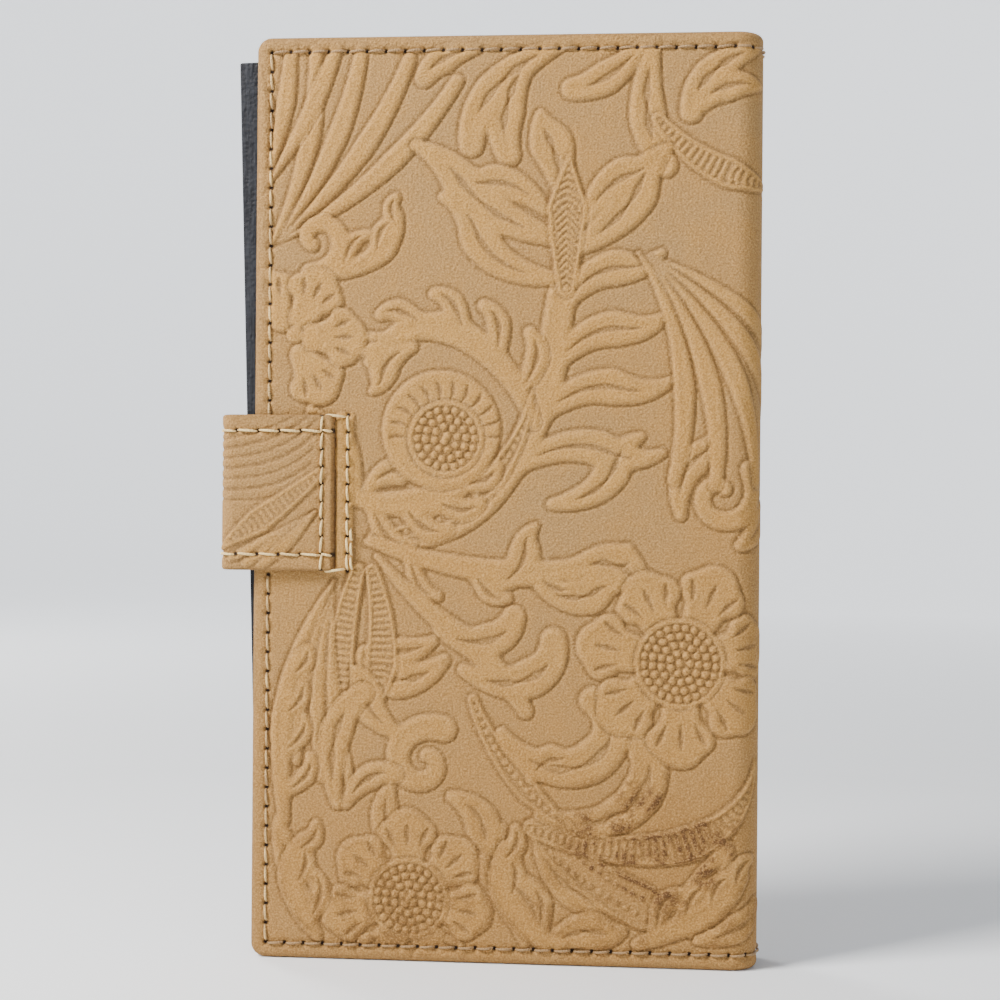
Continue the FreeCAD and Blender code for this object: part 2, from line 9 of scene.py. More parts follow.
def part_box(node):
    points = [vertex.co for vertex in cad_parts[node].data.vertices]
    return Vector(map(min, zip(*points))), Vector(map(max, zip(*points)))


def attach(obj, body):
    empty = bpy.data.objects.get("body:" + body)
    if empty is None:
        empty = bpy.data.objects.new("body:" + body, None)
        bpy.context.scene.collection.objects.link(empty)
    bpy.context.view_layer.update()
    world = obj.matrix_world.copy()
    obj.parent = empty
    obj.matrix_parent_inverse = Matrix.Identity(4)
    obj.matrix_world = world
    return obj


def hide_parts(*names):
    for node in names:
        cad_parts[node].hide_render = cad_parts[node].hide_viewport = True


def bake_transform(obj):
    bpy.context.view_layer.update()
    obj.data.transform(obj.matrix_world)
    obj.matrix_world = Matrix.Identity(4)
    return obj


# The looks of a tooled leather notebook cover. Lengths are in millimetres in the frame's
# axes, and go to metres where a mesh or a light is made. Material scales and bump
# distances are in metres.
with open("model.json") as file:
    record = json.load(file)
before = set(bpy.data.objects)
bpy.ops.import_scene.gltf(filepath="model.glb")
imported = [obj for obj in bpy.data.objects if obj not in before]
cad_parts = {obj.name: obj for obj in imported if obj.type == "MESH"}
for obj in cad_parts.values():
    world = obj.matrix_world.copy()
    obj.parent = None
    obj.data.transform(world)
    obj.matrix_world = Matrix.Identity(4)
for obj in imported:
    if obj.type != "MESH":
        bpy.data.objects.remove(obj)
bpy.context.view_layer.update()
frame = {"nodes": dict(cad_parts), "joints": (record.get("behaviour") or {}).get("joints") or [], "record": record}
MM = 0.001
RNG = np.random.default_rng(7)


def node_box(node):
    """Lowest and highest corner of a CAD node, in millimetres."""
    low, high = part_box(node)
    return np.array(low) / MM, np.array(high) / MM


# ---- Sizes read from the frame ----
BACK_LOW, BACK_HIGH = node_box("back_leather")
LINING_LOW, LINING_HIGH = node_box("back_lining")
ROOT_LOW, ROOT_HIGH = node_box("strap_root_leather")
BRIDGE_LOW, BRIDGE_HIGH = node_box("strap_bridge_leather")
TAB_HIGH = node_box("strap_tab_leather")[1]
TAB_LINING_LOW, TAB_LINING_HIGH = node_box("strap_tab_lining")
CAP_LOW, CAP_HIGH = node_box("snap_cap")
LEFT = BACK_LOW[0]
RIGHT = node_box("spine_leather")[1][0]
BACK = BACK_LOW[1]
FRONT = node_box("front_leather")[1][1]
HEIGHT = BACK_HIGH[2]
PANEL = BACK_HIGH[1] - BACK_LOW[1]
LINING = LINING_HIGH[1] - LINING_LOW[1]
WIDTH = RIGHT - LEFT
STRAP_LOW_Z = ROOT_LOW[2]
STRAP_HIGH_Z = ROOT_HIGH[2]
STRAP_OUT = BRIDGE_LOW[0]
STRAP_LEATHER = BRIDGE_HIGH[0] - BRIDGE_LOW[0]
STRAP_THICKNESS = STRAP_LEATHER + TAB_LINING_HIGH[1] - TAB_LINING_LOW[1]
STRAP_TURN = TAB_HIGH[1] - ROOT_LOW[1]
TAB_END = TAB_HIGH[0]
SNAP = (CAP_LOW + CAP_HIGH) / 2

# ---- Sizes of the looks ----
# Grid steps of a cross-section, the cover's two halves and the strap. An edge is rounded
# in EDGE_RINGS steps, and relief comes in over EDGE_FADE from it.
PATH_STEP = 0.04
SHEET_STEP = 0.32
FRONT_STEP = 0.5
STRAP_STEP = 0.34
EDGE_RINGS = 6
EDGE_FADE = (0.3, 1.6)
TUBE_SIDES = 8
# Cover leather: its rounding at the spine and at the outer corners.
SPINE_ROUND = 5.5
SHEET_CORNER = 3.0
# Tooling: how high shapes stand, how deep cuts go and the knife line round each shape.
# FAR_OUTSIDE is the depth inside a shape where no shape has been drawn yet. Stitch rows
# lie in a channel with needle holes. Painted shade darkens the leather from the last height here down to the
# bottom.
RAISED = 0.5
DEEPEST_CUT = -0.3
KNIFE_DEPTH = 0.26
KNIFE_OFFSET = 0.34
FAR_OUTSIDE = -9.0
CHANNEL_DEPTH = 0.22
HOLE_DEPTH = 0.6
SHADED_BELOW = 130
# Stitches of the cover, and how unevenly all stitches are laid by hand.
STITCH_PITCH = 4.0
STITCH_INSET = 3.2
THREAD = 0.27
HAND_WOBBLE = 0.05
# Strap: its bends, its stitches, the slit it comes out of and its box stitch. Its tongue
# drops through the slit and lifts the leather behind it.
STRAP_ROUND = 3.2
STRAP_PITCH = 4.5
STRAP_STITCH_INSET = 3.3
STRAP_STITCH_SHARE = 0.88
TAB_CORNER = 11.0
SLIT_X = -34.7
SLIT_DROP = 2.0
TONGUE_SWELL = 1.0
TONGUE_END = 2.7
BOX_PITCH = 3.4
BOX_LEFT_X = -37.4
BOX_RIGHT_X = -32.2
# Inside: linings, pocket seams and the notebook with its leaves and cord.
LINING_ROUND = 1.6
POCKET_THREAD = 0.2
BOOK_WIDTH = 98.0
BOOK_HEIGHT = 179.0
BOOK_HALF = 3.75
BOOK_COVER = 0.7
BOOK_CORNER = 1.6
BOOK_BULGE = 1.5
LEAVES = 22
LEAF = 0.115
LEAF_INSET = 2.0
LEAF_GAP_AT_FOLD = 0.4
LEAF_WOBBLE = 0.12
CORD = 0.6
CORD_FROM_FOLD = 1.4
CORD_CLEARANCE = 0.7
CORD_BEND = 1.0
# Backdrop: the flat floor's reach, and the bend and height of the wall.
FLOOR_REACH = 1300
WALL_BEND = 500
WALL_TOP = 3000


# ---- Paths and sheets ----

class Path:
    """A cross-section in the XY plane, made of (length, turn in degrees) legs.

    Lengths along it are u. Depth is measured from the outer face to the inside.
    """

    def __init__(self, start, heading, outward, legs):
        self.outward = outward
        lengths = np.array([leg[0] for leg in legs])
        turns = np.array([leg[1] for leg in legs])
        self.length = lengths.sum()
        knots = np.concatenate([[0], np.cumsum(lengths)])
        headings = np.radians(heading + np.concatenate([[0], np.cumsum(turns)]))
        self.u = np.unique(np.concatenate([np.arange(0, self.length, PATH_STEP), knots]))
        self.heading = np.interp(self.u, knots, headings)
        middle = (self.heading[1:] + self.heading[:-1]) / 2
        steps = np.diff(self.u)[:, None] * np.column_stack([np.cos(middle), np.sin(middle)])
        self.xy = np.array(start) + np.vstack([[0, 0], np.cumsum(steps, axis=0)])

    def place(self, u, depth):
        """The (x, y) of points at u along the path and a depth below the outer face."""
        x = np.interp(u, self.u, self.xy[:, 0])
        y = np.interp(u, self.u, self.xy[:, 1])
        facing = np.interp(u, self.u, self.heading)
        lift = -self.outward * np.asarray(depth)
        return np.stack([x - np.sin(facing) * lift, y + np.cos(facing) * lift], -1)


def bend_leg(radius, turn):
    """The leg of a path that bends by turn degrees at a radius."""
    return radius * math.radians(abs(turn)), turn


def smoothstep(low, high, value):
    """A soft step from 0 at low to 1 at high."""
    share = np.clip((value - low) / (high - low), 0, 1)
    return share * share * (3 - 2 * share)


def dip(value, width):
    """A soft bump of height 1 at value 0."""
    return np.exp(-((value / width) ** 2))


def edge_lines(length, step, radius, round_start, round_end):
    """Grid lines along one direction, closer together where an edge is rounded."""
    arc = radius * (1 - np.cos(np.linspace(0, math.pi / 2, EDGE_RINGS)))[:-1]
    first = radius if round_start else 0.0
    last = length - radius if round_end else length
    count = max(2, round((last - first) / step))
    parts = [np.linspace(first, last, count + 1)]
    if round_start:
        parts.insert(0, arc)
    if round_end:
        parts.append(length - arc[::-1])
    return np.concatenate(parts)


def grid_quads(index):
    """The faces of a grid of point numbers."""
    corners = [index[:-1, :-1], index[1:, :-1], index[1:, 1:], index[:-1, 1:]]
    return np.stack(corners, -1).reshape(-1, 4)


def ring_quads(index):
    """The faces between rows of point numbers that each close into a ring."""
    return grid_quads(np.hstack([index, index[:, :1]]))


class Sheet:
    """A sheet bent along a path, with rounded edges turned over to its inside."""

    def __init__(self, path, u_range, z_range, thickness, step, corner, ends, turn_in=3.0):
        self.path = path
        self.thickness = thickness
        self.edge = thickness / 2
        self.corner = max(corner, self.edge * 1.05)
        self.ends = ends
        self.turn_in = turn_in
        self.u0, self.u1 = u_range
        self.z0, self.z1 = z_range
        self.us = self.u0 + edge_lines(self.u1 - self.u0, step, self.edge, *ends)
        self.zs = self.z0 + edge_lines(self.z1 - self.z0, step, self.edge, True, True)
        self.u, self.z = np.meshgrid(self.us, self.zs, indexing="ij")
        self.relief = np.zeros_like(self.u)
        self.paint = {}

    def outline(self):
        """Places with rounded corners, the distance to the outline and the way in."""
        r = self.corner
        near_start = np.clip((self.u0 + r - self.u) / r, 0, 1) * self.ends[0]
        near_end = np.clip((self.u - self.u1 + r) / r, 0, 1) * self.ends[1]
        a = near_start - near_end
        b = np.clip((self.z0 + r - self.z) / r, 0, 1) - np.clip((self.z - self.z1 + r) / r, 0, 1)
        round_a = a * np.sqrt(1 - b * b / 2)
        round_b = b * np.sqrt(1 - a * a / 2)
        reach = np.hypot(round_a, round_b)
        inward = np.stack([round_a, round_b], -1) / np.maximum(reach, 1e-9)[..., None]
        u = self.u - r * (round_a - a)
        z = self.z - r * (round_b - b)
        return u, z, r * (1 - reach), inward

    def chains(self):
        """Point numbers of the turned edges, clockwise as seen from outside."""
        index = np.arange(self.u.size).reshape(self.u.shape)
        bottom, start = index[::-1, 0], index[0, :]
        top, end = index[:, -1], index[-1, ::-1]
        if self.ends[0] and self.ends[1]:
            return [np.concatenate([bottom[:-1], start[:-1], top[:-1], end])]
        if self.ends[0]:
            return [np.concatenate([bottom[:-1], start[:-1], top])]
        if self.ends[1]:
            return [np.concatenate([top[:-1], end[:-1], bottom])]
        return [bottom, top]

    def build(self, name, shape=None):
        """The mesh object. shape may move points: it maps (u, z, xyz) to xyz."""
        u, z, distance, inward = self.outline()
        edge = self.edge
        under = np.clip(edge - distance, 0, edge)
        drop = edge - np.sqrt(edge * edge - under * under)
        relief = self.relief * smoothstep(*EDGE_FADE, distance)
        depth = drop - relief
        rows = [(u.ravel(), z.ravel(), depth.ravel())]
        quads = [grid_quads(np.arange(u.size).reshape(u.shape))]
        count = u.size
        for chain in self.chains():
            way = inward.reshape(-1, 2)[chain]
            before = chain
            for back_in, below in self.turned_profile():
                ring_u = u.ravel()[chain] + way[:, 0] * back_in
                ring_z = z.ravel()[chain] + way[:, 1] * back_in
                rows.append((ring_u, ring_z, np.full(len(chain), below)))
                ring = count + np.arange(len(chain))
                count += len(chain)
                quads.append(np.stack([ring[:-1], before[:-1], before[1:], ring[1:]], -1))
                before = ring
        all_u, all_z, all_depth = (np.concatenate(part) for part in zip(*rows))
        points = np.column_stack([self.path.place(all_u, all_depth), all_z])
        if shape:
            points = shape(all_u, all_z, points)
        faces = np.concatenate(quads)
        if self.path.outward > 0:
            faces = faces[:, ::-1]
        obj = mesh_object(name, points, faces)
        vector_attribute(obj, "sheet", np.column_stack([all_u, all_z, all_depth]) * MM)
        self.paint["edge_wear"] = dip(distance, 0.9)
        for label, grid in self.paint.items():
            values = np.full(count, 0.5 if label == "edge_wear" else 0.0)
            values[: u.size] = grid.ravel()
            float_attribute(obj, label, values)
        return obj

    def turned_profile(self):
        """(distance in from the edge, depth) of the rings that turn the edge over."""
        edge = self.edge
        angles = np.linspace(0, math.pi / 2, EDGE_RINGS)[1:]
        rounded = [(edge * (1 - math.cos(a)), edge * (1 + math.sin(a))) for a in angles]
        flat = [(reach, self.thickness) for reach in (edge + 0.8, self.turn_in)]
        return rounded + [pair for pair in flat if pair[0] > edge]


def mesh_object(name, points, faces, smooth=True):
    """A mesh from points in millimetres and an array of four-cornered faces."""
    mesh = bpy.data.meshes.new(name)
    mesh.vertices.add(len(points))
    mesh.vertices.foreach_set("co", (np.asarray(points) * MM).astype(np.float32).ravel())
    mesh.loops.add(faces.size)
    mesh.loops.foreach_set("vertex_index", faces.astype(np.int32).ravel())
    mesh.polygons.add(len(faces))
    mesh.polygons.foreach_set("loop_start", np.arange(0, faces.size, 4, dtype=np.int32))
    mesh.update(calc_edges=True)
    mesh.validate()
    mesh.polygons.foreach_set("use_smooth", [smooth] * len(mesh.polygons))
    obj = bpy.data.objects.new(name, mesh)
    bpy.context.scene.collection.objects.link(obj)
    return obj


def grid_object(name, x, y, z, quads=grid_quads):
    """A mesh from three grids of coordinates, with the faces that quads gives it."""
    faces = quads(np.arange(x.size).reshape(x.shape))
    return mesh_object(name, np.stack([x, y, z], -1).reshape(-1, 3), faces)


def turned(profile, sides):
    """(radius, height) pairs spun round: two grids of places across, and the heights."""
    angles = np.linspace(0, 2 * math.pi, sides, endpoint=False)
    radius, height = profile[:, :1], profile[:, 1:]
    return radius * np.cos(angles), radius * np.sin(angles), height + 0 * angles


def float_attribute(obj, label, values):
    attribute = obj.data.attributes.new(label, "FLOAT", "POINT")
    attribute.data.foreach_set("value", np.asarray(values, np.float32))


def vector_attribute(obj, label, values):
    attribute = obj.data.attributes.new(label, "FLOAT_VECTOR", "POINT")
    attribute.data.foreach_set("vector", np.asarray(values, np.float32).ravel())


# ---- Tooling: shapes pressed into a sheet ----

def direction(degrees):
    """A unit step at an angle from the u axis towards the z axis."""
    angle = math.radians(degrees)
    return np.array([math.cos(angle), math.sin(angle)])


def bowed(base, heading, length, *curls):
    """A curved line from base. Each curl is the turn in degrees over an equal share."""
    count = max(12, int(length * 1.6))
    knots = np.linspace(0, 1, len(curls) + 1)
    turned = np.concatenate([[0], np.cumsum(curls)])
    turn = np.radians(heading + np.interp(np.linspace(0, 1, count), knots, turned))
    steps = np.column_stack([np.cos(turn), np.sin(turn)]) * (length / (count - 1))
    return np.array(base, float) + np.vstack([[0, 0], np.cumsum(steps[:-1], axis=0)])


def coiled(centre, radius, start, turns, count=70):
    """A line that winds in to a centre."""
    share = np.linspace(0, 1, count)
    angle = np.radians(start + 360 * turns * share)
    reach = radius * (1 - 0.8 * share**0.8)
    return np.array(centre) + reach[:, None] * np.column_stack([np.cos(angle), np.sin(angle)])


def facing(path, share):
    """Heading in degrees and place at a share of the way along a path."""
    k = min(len(path) - 2, int(share * (len(path) - 1)))
    step = path[k + 1] - path[k]
    return math.degrees(math.atan2(step[1], step[0])), path[k]


def dot(centre):
    """A path as short as a point, for round marks."""
    return np.array([centre, np.add(centre, 1e-3)])


def tongue(path, root, belly, tip):
    """Half-widths along a path: from the root's to the belly's at 0.6, then to the tip's."""
    share = np.linspace(0, 1, len(path))
    swell = np.interp(share, [0, 0.6, 1], [root, belly, tip])
    return swell + 0.12 * belly * np.sin(math.pi * share)


class Tooling:
    """Draws plant shapes into the relief of a sheet, one laid over the other."""

    def __init__(self, sheet, mirror_at=None):
        self.sheet = sheet
        self.height = sheet.relief
        self.mass = np.full_like(sheet.relief, FAR_OUTSIDE)
        self.mirror_at = mirror_at

    def placed(self, path):
        """The path itself, or its mirror image on the other cover half."""
        path = np.array(path, float)
        if self.mirror_at:
            path[..., 0] = self.mirror_at - path[..., 0]
        return path

    def stroke(self, path, widths):
        """Depth inside a brush stroke, the length along it and the offset across it."""
        path = self.placed(path)
        reach = np.max(widths) + 1.6
        us, zs = self.sheet.us, self.sheet.zs
        i0, i1 = np.searchsorted(us, [path[:, 0].min() - reach, path[:, 0].max() + reach])
        j0, j1 = np.searchsorted(zs, [path[:, 1].min() - reach, path[:, 1].max() + reach])
        cut = (slice(i0, i1), slice(j0, j1))
        u, z = self.sheet.u[cut], self.sheet.z[cut]
        inside, along, across = np.full(u.shape, FAR_OUTSIDE), 0 * u, 0 * u
        steps = np.diff(path, axis=0)
        lengths = np.concatenate([[0], np.cumsum(np.linalg.norm(steps, axis=1))])
        for k, step in enumerate(steps):
            span = max(1e-9, float(step @ step))
            du, dz = u - path[k, 0], z - path[k, 1]
            share = np.clip((du * step[0] + dz * step[1]) / span, 0, 1)
            off = np.hypot(du - share * step[0], dz - share * step[1])
            depth = widths[k] + share * (widths[k + 1] - widths[k]) - off
            nearer = depth > inside
            side = np.sign(step[0] * dz - step[1] * du)
            inside[nearer] = depth[nearer]
            along[nearer] = (lengths[k] + share * math.sqrt(span))[nearer]
            across[nearer] = (side * off)[nearer]
        return cut, inside, along, across

    def grow(self, path, widths):
        """Add a branch to the shape being drawn, with a soft crotch where they meet."""
        cut, inside = self.stroke(path, widths)[:2]
        mass = self.mass[cut]
        near = np.clip(1 - np.abs(mass - inside) / 1.1, 0, 1)
        mass[:] = np.maximum(mass, inside) + 0.27 * near * near

    def settle(self, top=RAISED):
        """Raise the drawn shape with a knife line round it, and start a new one."""
        cover = smoothstep(-0.12, 0.26, self.mass)
        knife = KNIFE_DEPTH * dip(self.mass + KNIFE_OFFSET, 0.3)
        edge_swell = smoothstep(0, 1.0, self.mass) - 0.4 * smoothstep(1.1, 2.6, self.mass)
        surface = top * (0.5 + 0.5 * edge_swell)
        self.height[:] = (self.height - knife) * (1 - cover) + surface * cover
        self.mass[:] = FAR_OUTSIDE

    def carve(self, path, widths, depth=0.34):
        """Sink a slot or a groove into what is there."""
        cut, inside = self.stroke(path, np.broadcast_to(widths, len(path)))[:2]
        self.height[cut] -= depth * smoothstep(-0.26, 0.22, inside)

    def slot(self, base, heading, length, curl, width=0.55):
        """A teardrop slot cut along one curved line."""
        path = bowed(base, heading, length, curl)
        self.carve(path, tongue(path, 0.05, width, 0.2))

    def bead(self, centre, radius=0.6, top=0.5):
        """A round bead with a fine groove round it."""
        middle = self.placed(centre)
        cut = self.stroke(dot(centre), np.full(2, radius))[0]
        off = np.hypot(self.sheet.u[cut] - middle[0], self.sheet.z[cut] - middle[1]) / radius
        dome = np.where(off < 1, top * np.sqrt(1 - off.clip(0, 1) ** 2), FAR_OUTSIDE)
        height = self.height[cut]
        height -= 0.1 * dip(off - 1.15, 0.3)
        height[:] = np.maximum(height, dome)

    def band(self, path, width, kind, pitch=1.7):
        """A sunk band between two rails, filled with beads, pairs, rungs or chevrons."""
        cut, inside, along, across = self.stroke(path, tongue(path, width * 0.5, width, 0.3))
        cover = smoothstep(-0.15, 0.3, inside)
        knife = 0.2 * dip(inside + 0.4, 0.36)
        rail = dip(inside - 0.45, 0.4)
        within = smoothstep(0.7, 1.1, inside)
        if kind in ("beads", "pairs"):
            gap = (along + pitch / 2) % pitch - pitch / 2
            off = np.abs(across) - (1.6 if kind == "pairs" else 0.0)
            fill = np.sqrt(np.maximum(0, 1 - (gap**2 + off**2) / 0.4))
        else:
            slant = np.abs(across) * (0.9 if kind == "chevrons" else 0.0)
            fill = 0.5 + 0.5 * np.sin((along + slant) * 2 * math.pi / pitch)
        surface = 0.08 + 0.42 * np.maximum(rail, 0.8 * within * fill)
        height = self.height[cut]
        height[:] = (height - knife) * (1 - cover) + surface * cover

    def seeds(self, centre, radius):
        """Rings of beads inside a raised rim."""
        spot = np.array(centre, float)
        self.grow(dot(spot), np.full(2, radius + 0.9))
        self.settle()
        self.carve(dot(spot), radius, RAISED - 0.06)
        ring = radius - 0.9
        while ring > 0.6:
            count = int(2 * math.pi * ring / 1.8)
            for k in range(count):
                self.bead(spot + ring * direction(360 * (k + 0.5 * (ring % 2)) / count), 0.76)
            ring -= 1.75
        self.bead(spot, 0.75)

    def flame(self, base, heading, length, curl, width, slots=1):
        """A swelling tongue that hooks over at its tip; part of the drawn shape."""
        path = bowed(base, heading, length, curl * 0.4, curl * 0.7, -curl * 0.9)
        self.grow(path, tongue(path, width * 0.42, width * 1.06, width * 0.3))
        return [(path, slots, width)]

    def hook(self, base, heading, length, curl, width, slots=1):
        """A stem that swells as it curls over, with a slot in its head; part of the shape."""
        path = bowed(base, heading, length, curl * 0.2, curl * 0.3, curl * 0.5)
        self.grow(path, tongue(path, width * 0.34, width * 0.94, width * 0.7))
        return [(path, slots, width * 1.3)]

    def lobed_leaf(self, base, heading, length, curl, width, lobes=4, side=1):
        """A curved leaf with rounded lobes down one side, each with a slot."""
        spine = bowed(base, heading, length, curl * 0.5, curl * 1.1)
        self.grow(spine, tongue(spine, width * 0.4, width * 0.75, width * 0.3))
        marks = []
        for k in range(lobes):
            share = 0.16 + 0.72 * k / max(1, lobes - 1)
            turned, spot = facing(spine, share)
            reach = width * (3.7 - 1.5 * share)
            lobe = bowed(spot, turned + side * (74 - 36 * share), reach, -side * 20, -side * 62)
            self.grow(lobe, tongue(lobe, width * 0.34, width * 0.58, width * 0.36))
            marks.append((lobe, 1, width * 0.8))
        return marks

    def branches(self, stem, shares, turn, length, curl, width, slots=1):
        """Flames that leave a stem on one side, each smaller than the one before."""
        marks = []
        for k, share in enumerate(shares):
            turned, spot = facing(stem, share)
            marks += self.flame(spot, turned + turn, length * (1 - 0.08 * k), curl, width, slots)
        return marks

    def cut_slots(self, marks):
        """Teardrop slots along the middles of the branches in marks."""
        for path, slots, width in marks:
            for k in range(slots):
                low = 0.22 + 0.5 * k / max(1, slots)
                high = low + 0.55 / max(1, slots)
                part = path[int(low * len(path)) : int(high * len(path)) + 2]
                if len(part) > 3:
                    self.carve(part, tongue(part, 0.08, 0.13 * width + 0.16, 0.1))

    def plant(self, *branches):
        """Settle one shape made of several branches, then cut the slots of each."""
        self.settle()
        for marks in branches:
            self.cut_slots(marks)

    def petal(self, centre, reach, degrees, width):
        """A broad petal with a scalloped end and three fanned slots."""
        spot = np.array(centre, float)
        tip = spot + direction(degrees) * (reach - width * 0.6)
        path = np.linspace(spot + direction(degrees) * reach * 0.3, tip, 12)
        self.grow(path, np.linspace(width * 0.5, width * 0.8, 12))
        side = direction(degrees + 90) * width * 0.62
        for shift in (-1, 0, 1):
            lobe = tip + side * shift + direction(degrees) * width * (0.12 - 0.3 * abs(shift))
            self.grow(dot(lobe), np.full(2, width * 0.5))
        self.settle()
        for turn in (-17, 0, 17):
            start = spot + direction(degrees + turn * 0.8) * reach * 0.62
            self.slot(start, degrees + turn, reach * 0.24, turn, 0.5)

    def flower(self, centre, reach, petals, seed_radius, start=0.0):
        """Petals round a seeded middle, the hinder ones first."""
        width = math.pi * reach / petals * 0.72
        for k in range(petals):
            self.petal(centre, reach * (1.0 + 0.06 * (k % 2)), start + 360 * k / petals, width)
        self.seeds(centre, seed_radius)

    def fan(self, base, first, last, count, length, curl, width):
        """Long lines that spread from one root."""
        for k in range(count):
            share = k / max(1, count - 1)
            path = bowed(base, first + (last - first) * share, length * (1 - 0.2 * share), curl)
            self.grow(path, tongue(path, 0.3, width, width * 0.7))
            self.settle()

    def medallion(self, centre, radius):
        """A seeded disc in a ring, with rungs fanned between the two over the top."""
        spot = np.array(centre, float)
        self.grow(dot(spot), np.full(2, radius))
        self.settle()
        inner = radius * 0.56
        low = spot + direction(-60) * radius * 0.16
        for degrees in range(0, 190, 16):
            start = low + direction(degrees + 4) * (inner + 1.2)
            self.slot(start, degrees - 20, radius * 0.3, 50, 0.42)
        self.seeds(low, inner)


def tool_panel(t):
    """An all-over plant pattern for one cover half, laid out from its fore-edge."""
    tool_middle(t)
    tool_top(t)
    tool_bottom(t)


def tool_top(t):
    # Long lines that fan up to the top edge, over a rolled leaf.
    t.fan((3, 147), 24, 60, 4, 52, 34, 1.9)
    t.fan((1, 158), 52, 84, 3, 36, 22, 1.7)
    t.grow(coiled((13, 148), 7.0, -100, 0.9), np.linspace(2.2, 1.4, 70))
    t.plant(t.lobed_leaf((16, 141), 10, 20, 50, 2.8, 3, 1))
    # A half flower that grows in from the fore-edge.
    for degrees in (120, -60, 62, 0):
        t.petal((8, 128), 14.5, degrees, 5.4)
    t.bead((8.5, 128.5), 1.8)
    # Leaves that hang from the top edge.
    t.plant(
        t.hook((64, 188), 200, 30, 70, 3.6, 2),
        t.hook((57, 186), 236, 22, 56, 3.6, 2),
        t.hook((46, 187), 186, 13, 60, 2.8, 1),
    )
    t.plant(
        t.hook((80, 188), -128, 18, -50, 3.2, 1),
        t.hook((82, 188), -104, 26, 50, 3.6, 2),
    )
    t.plant(t.hook((104, 187), 196, 21, 70, 3.2, 2), t.hook((104, 179), 172, 13, 60, 3.0, 1))
    t.band(bowed((83, 172), -52, 30, 50), 2.8, "rungs", 1.5)
    # The head bud with flames to both sides.
    t.plant(
        t.flame((63, 148), 166, 36, -36, 3.8, 2),
        t.flame((62, 140), 176, 30, -60, 3.4),
        t.flame((60, 154), 132, 20, 50, 3.2),
        t.flame((66, 146), 28, 28, 36, 3.8, 2),
        t.flame((68, 152), 62, 20, -40, 3.4),
        t.flame((63, 158), 92, 16, 24, 3.8, 2),
    )
    t.band(bowed((64.5, 138), 91, 27, -4), 3.6, "chevrons", 1.5)
    # Long lines down the right that end in a hook.
    t.fan((79, 145), -18, -56, 5, 60, -50, 1.9)


def tool_middle(t):
    # The main stem, with flames to its right and a crown of lobes to its left.
    main = bowed((24, 86), -10, 92, 66, 26, -2)
    t.grow(main, tongue(main, 0.9, 3.0, 2.2))
    t.plant(
        t.branches(main, (0.38, 0.5, 0.62, 0.76), -22, 33, -56, 3.1),
        t.flame((62, 94), 6, 24, 60, 3.0, 2),
    )
    t.plant(
        t.lobed_leaf(facing(main, 0.5)[1], 108, 46, 84, 3.8, 5, -1),
        t.flame((33, 126), 196, 13, 60, 2.6),
    )
    t.grow(coiled((96, 96), 8.0, 40, -0.95), np.linspace(2.2, 1.4, 70))
    t.plant(t.flame((88, 92), 100, 20, -60, 2.8), t.flame((100, 86), 30, 12, 30, 2.8))
    # The medallion, held by leaves below and a beaded tail on the right.
    t.band(bowed((25, 87), 4, 48, 78), 2.2, "beads", 1.8)
    t.plant(
        t.lobed_leaf((21, 95), -14, 27, 44, 3.8, 4, -1),
        t.flame((21, 96), 96, 20, 40, 3.4),
        t.flame((24, 97), 50, 12, -50, 2.6),
    )
    t.medallion((39, 109), 12.2)
    # Stems that run from the root to the right.
    t.plant(
        t.lobed_leaf((25, 86), -20, 54, 30, 3.2, 4, -1),
        t.flame((66, 80), 34, 18, -70, 3.8, 2),
        t.flame((60, 77), -30, 17, 60, 3.4, 2),
        t.flame((50, 77), 24, 16, 60, 2.8),
    )
    # A drooping stem in the middle, with hooks to both sides.
    t.plant(t.hook((40, 62), -136, 19, -120, 3.8, 2), t.hook((38, 66), -150, 12, -60, 2.8, 1))
    droop = bowed((26, 83), -50, 44, 14, -24)
    t.grow(droop, tongue(droop, 0.7, 2.3, 1.6))
    t.plant(
        t.hook((39, 68), -30, 18, 110, 3.4, 1),
        t.hook((44, 60), -30, 24, 130, 3.8, 2),
    )
    # Feathers that hang from the root.
    t.band(bowed((22, 80), -106, 46, 24), 3.2, "rungs", 1.4)
    t.band(bowed((25, 80), -74, 32, -34), 3.0, "rungs", 1.4)
    t.fan((17, 78), -96, -122, 4, 44, 24, 1.5)


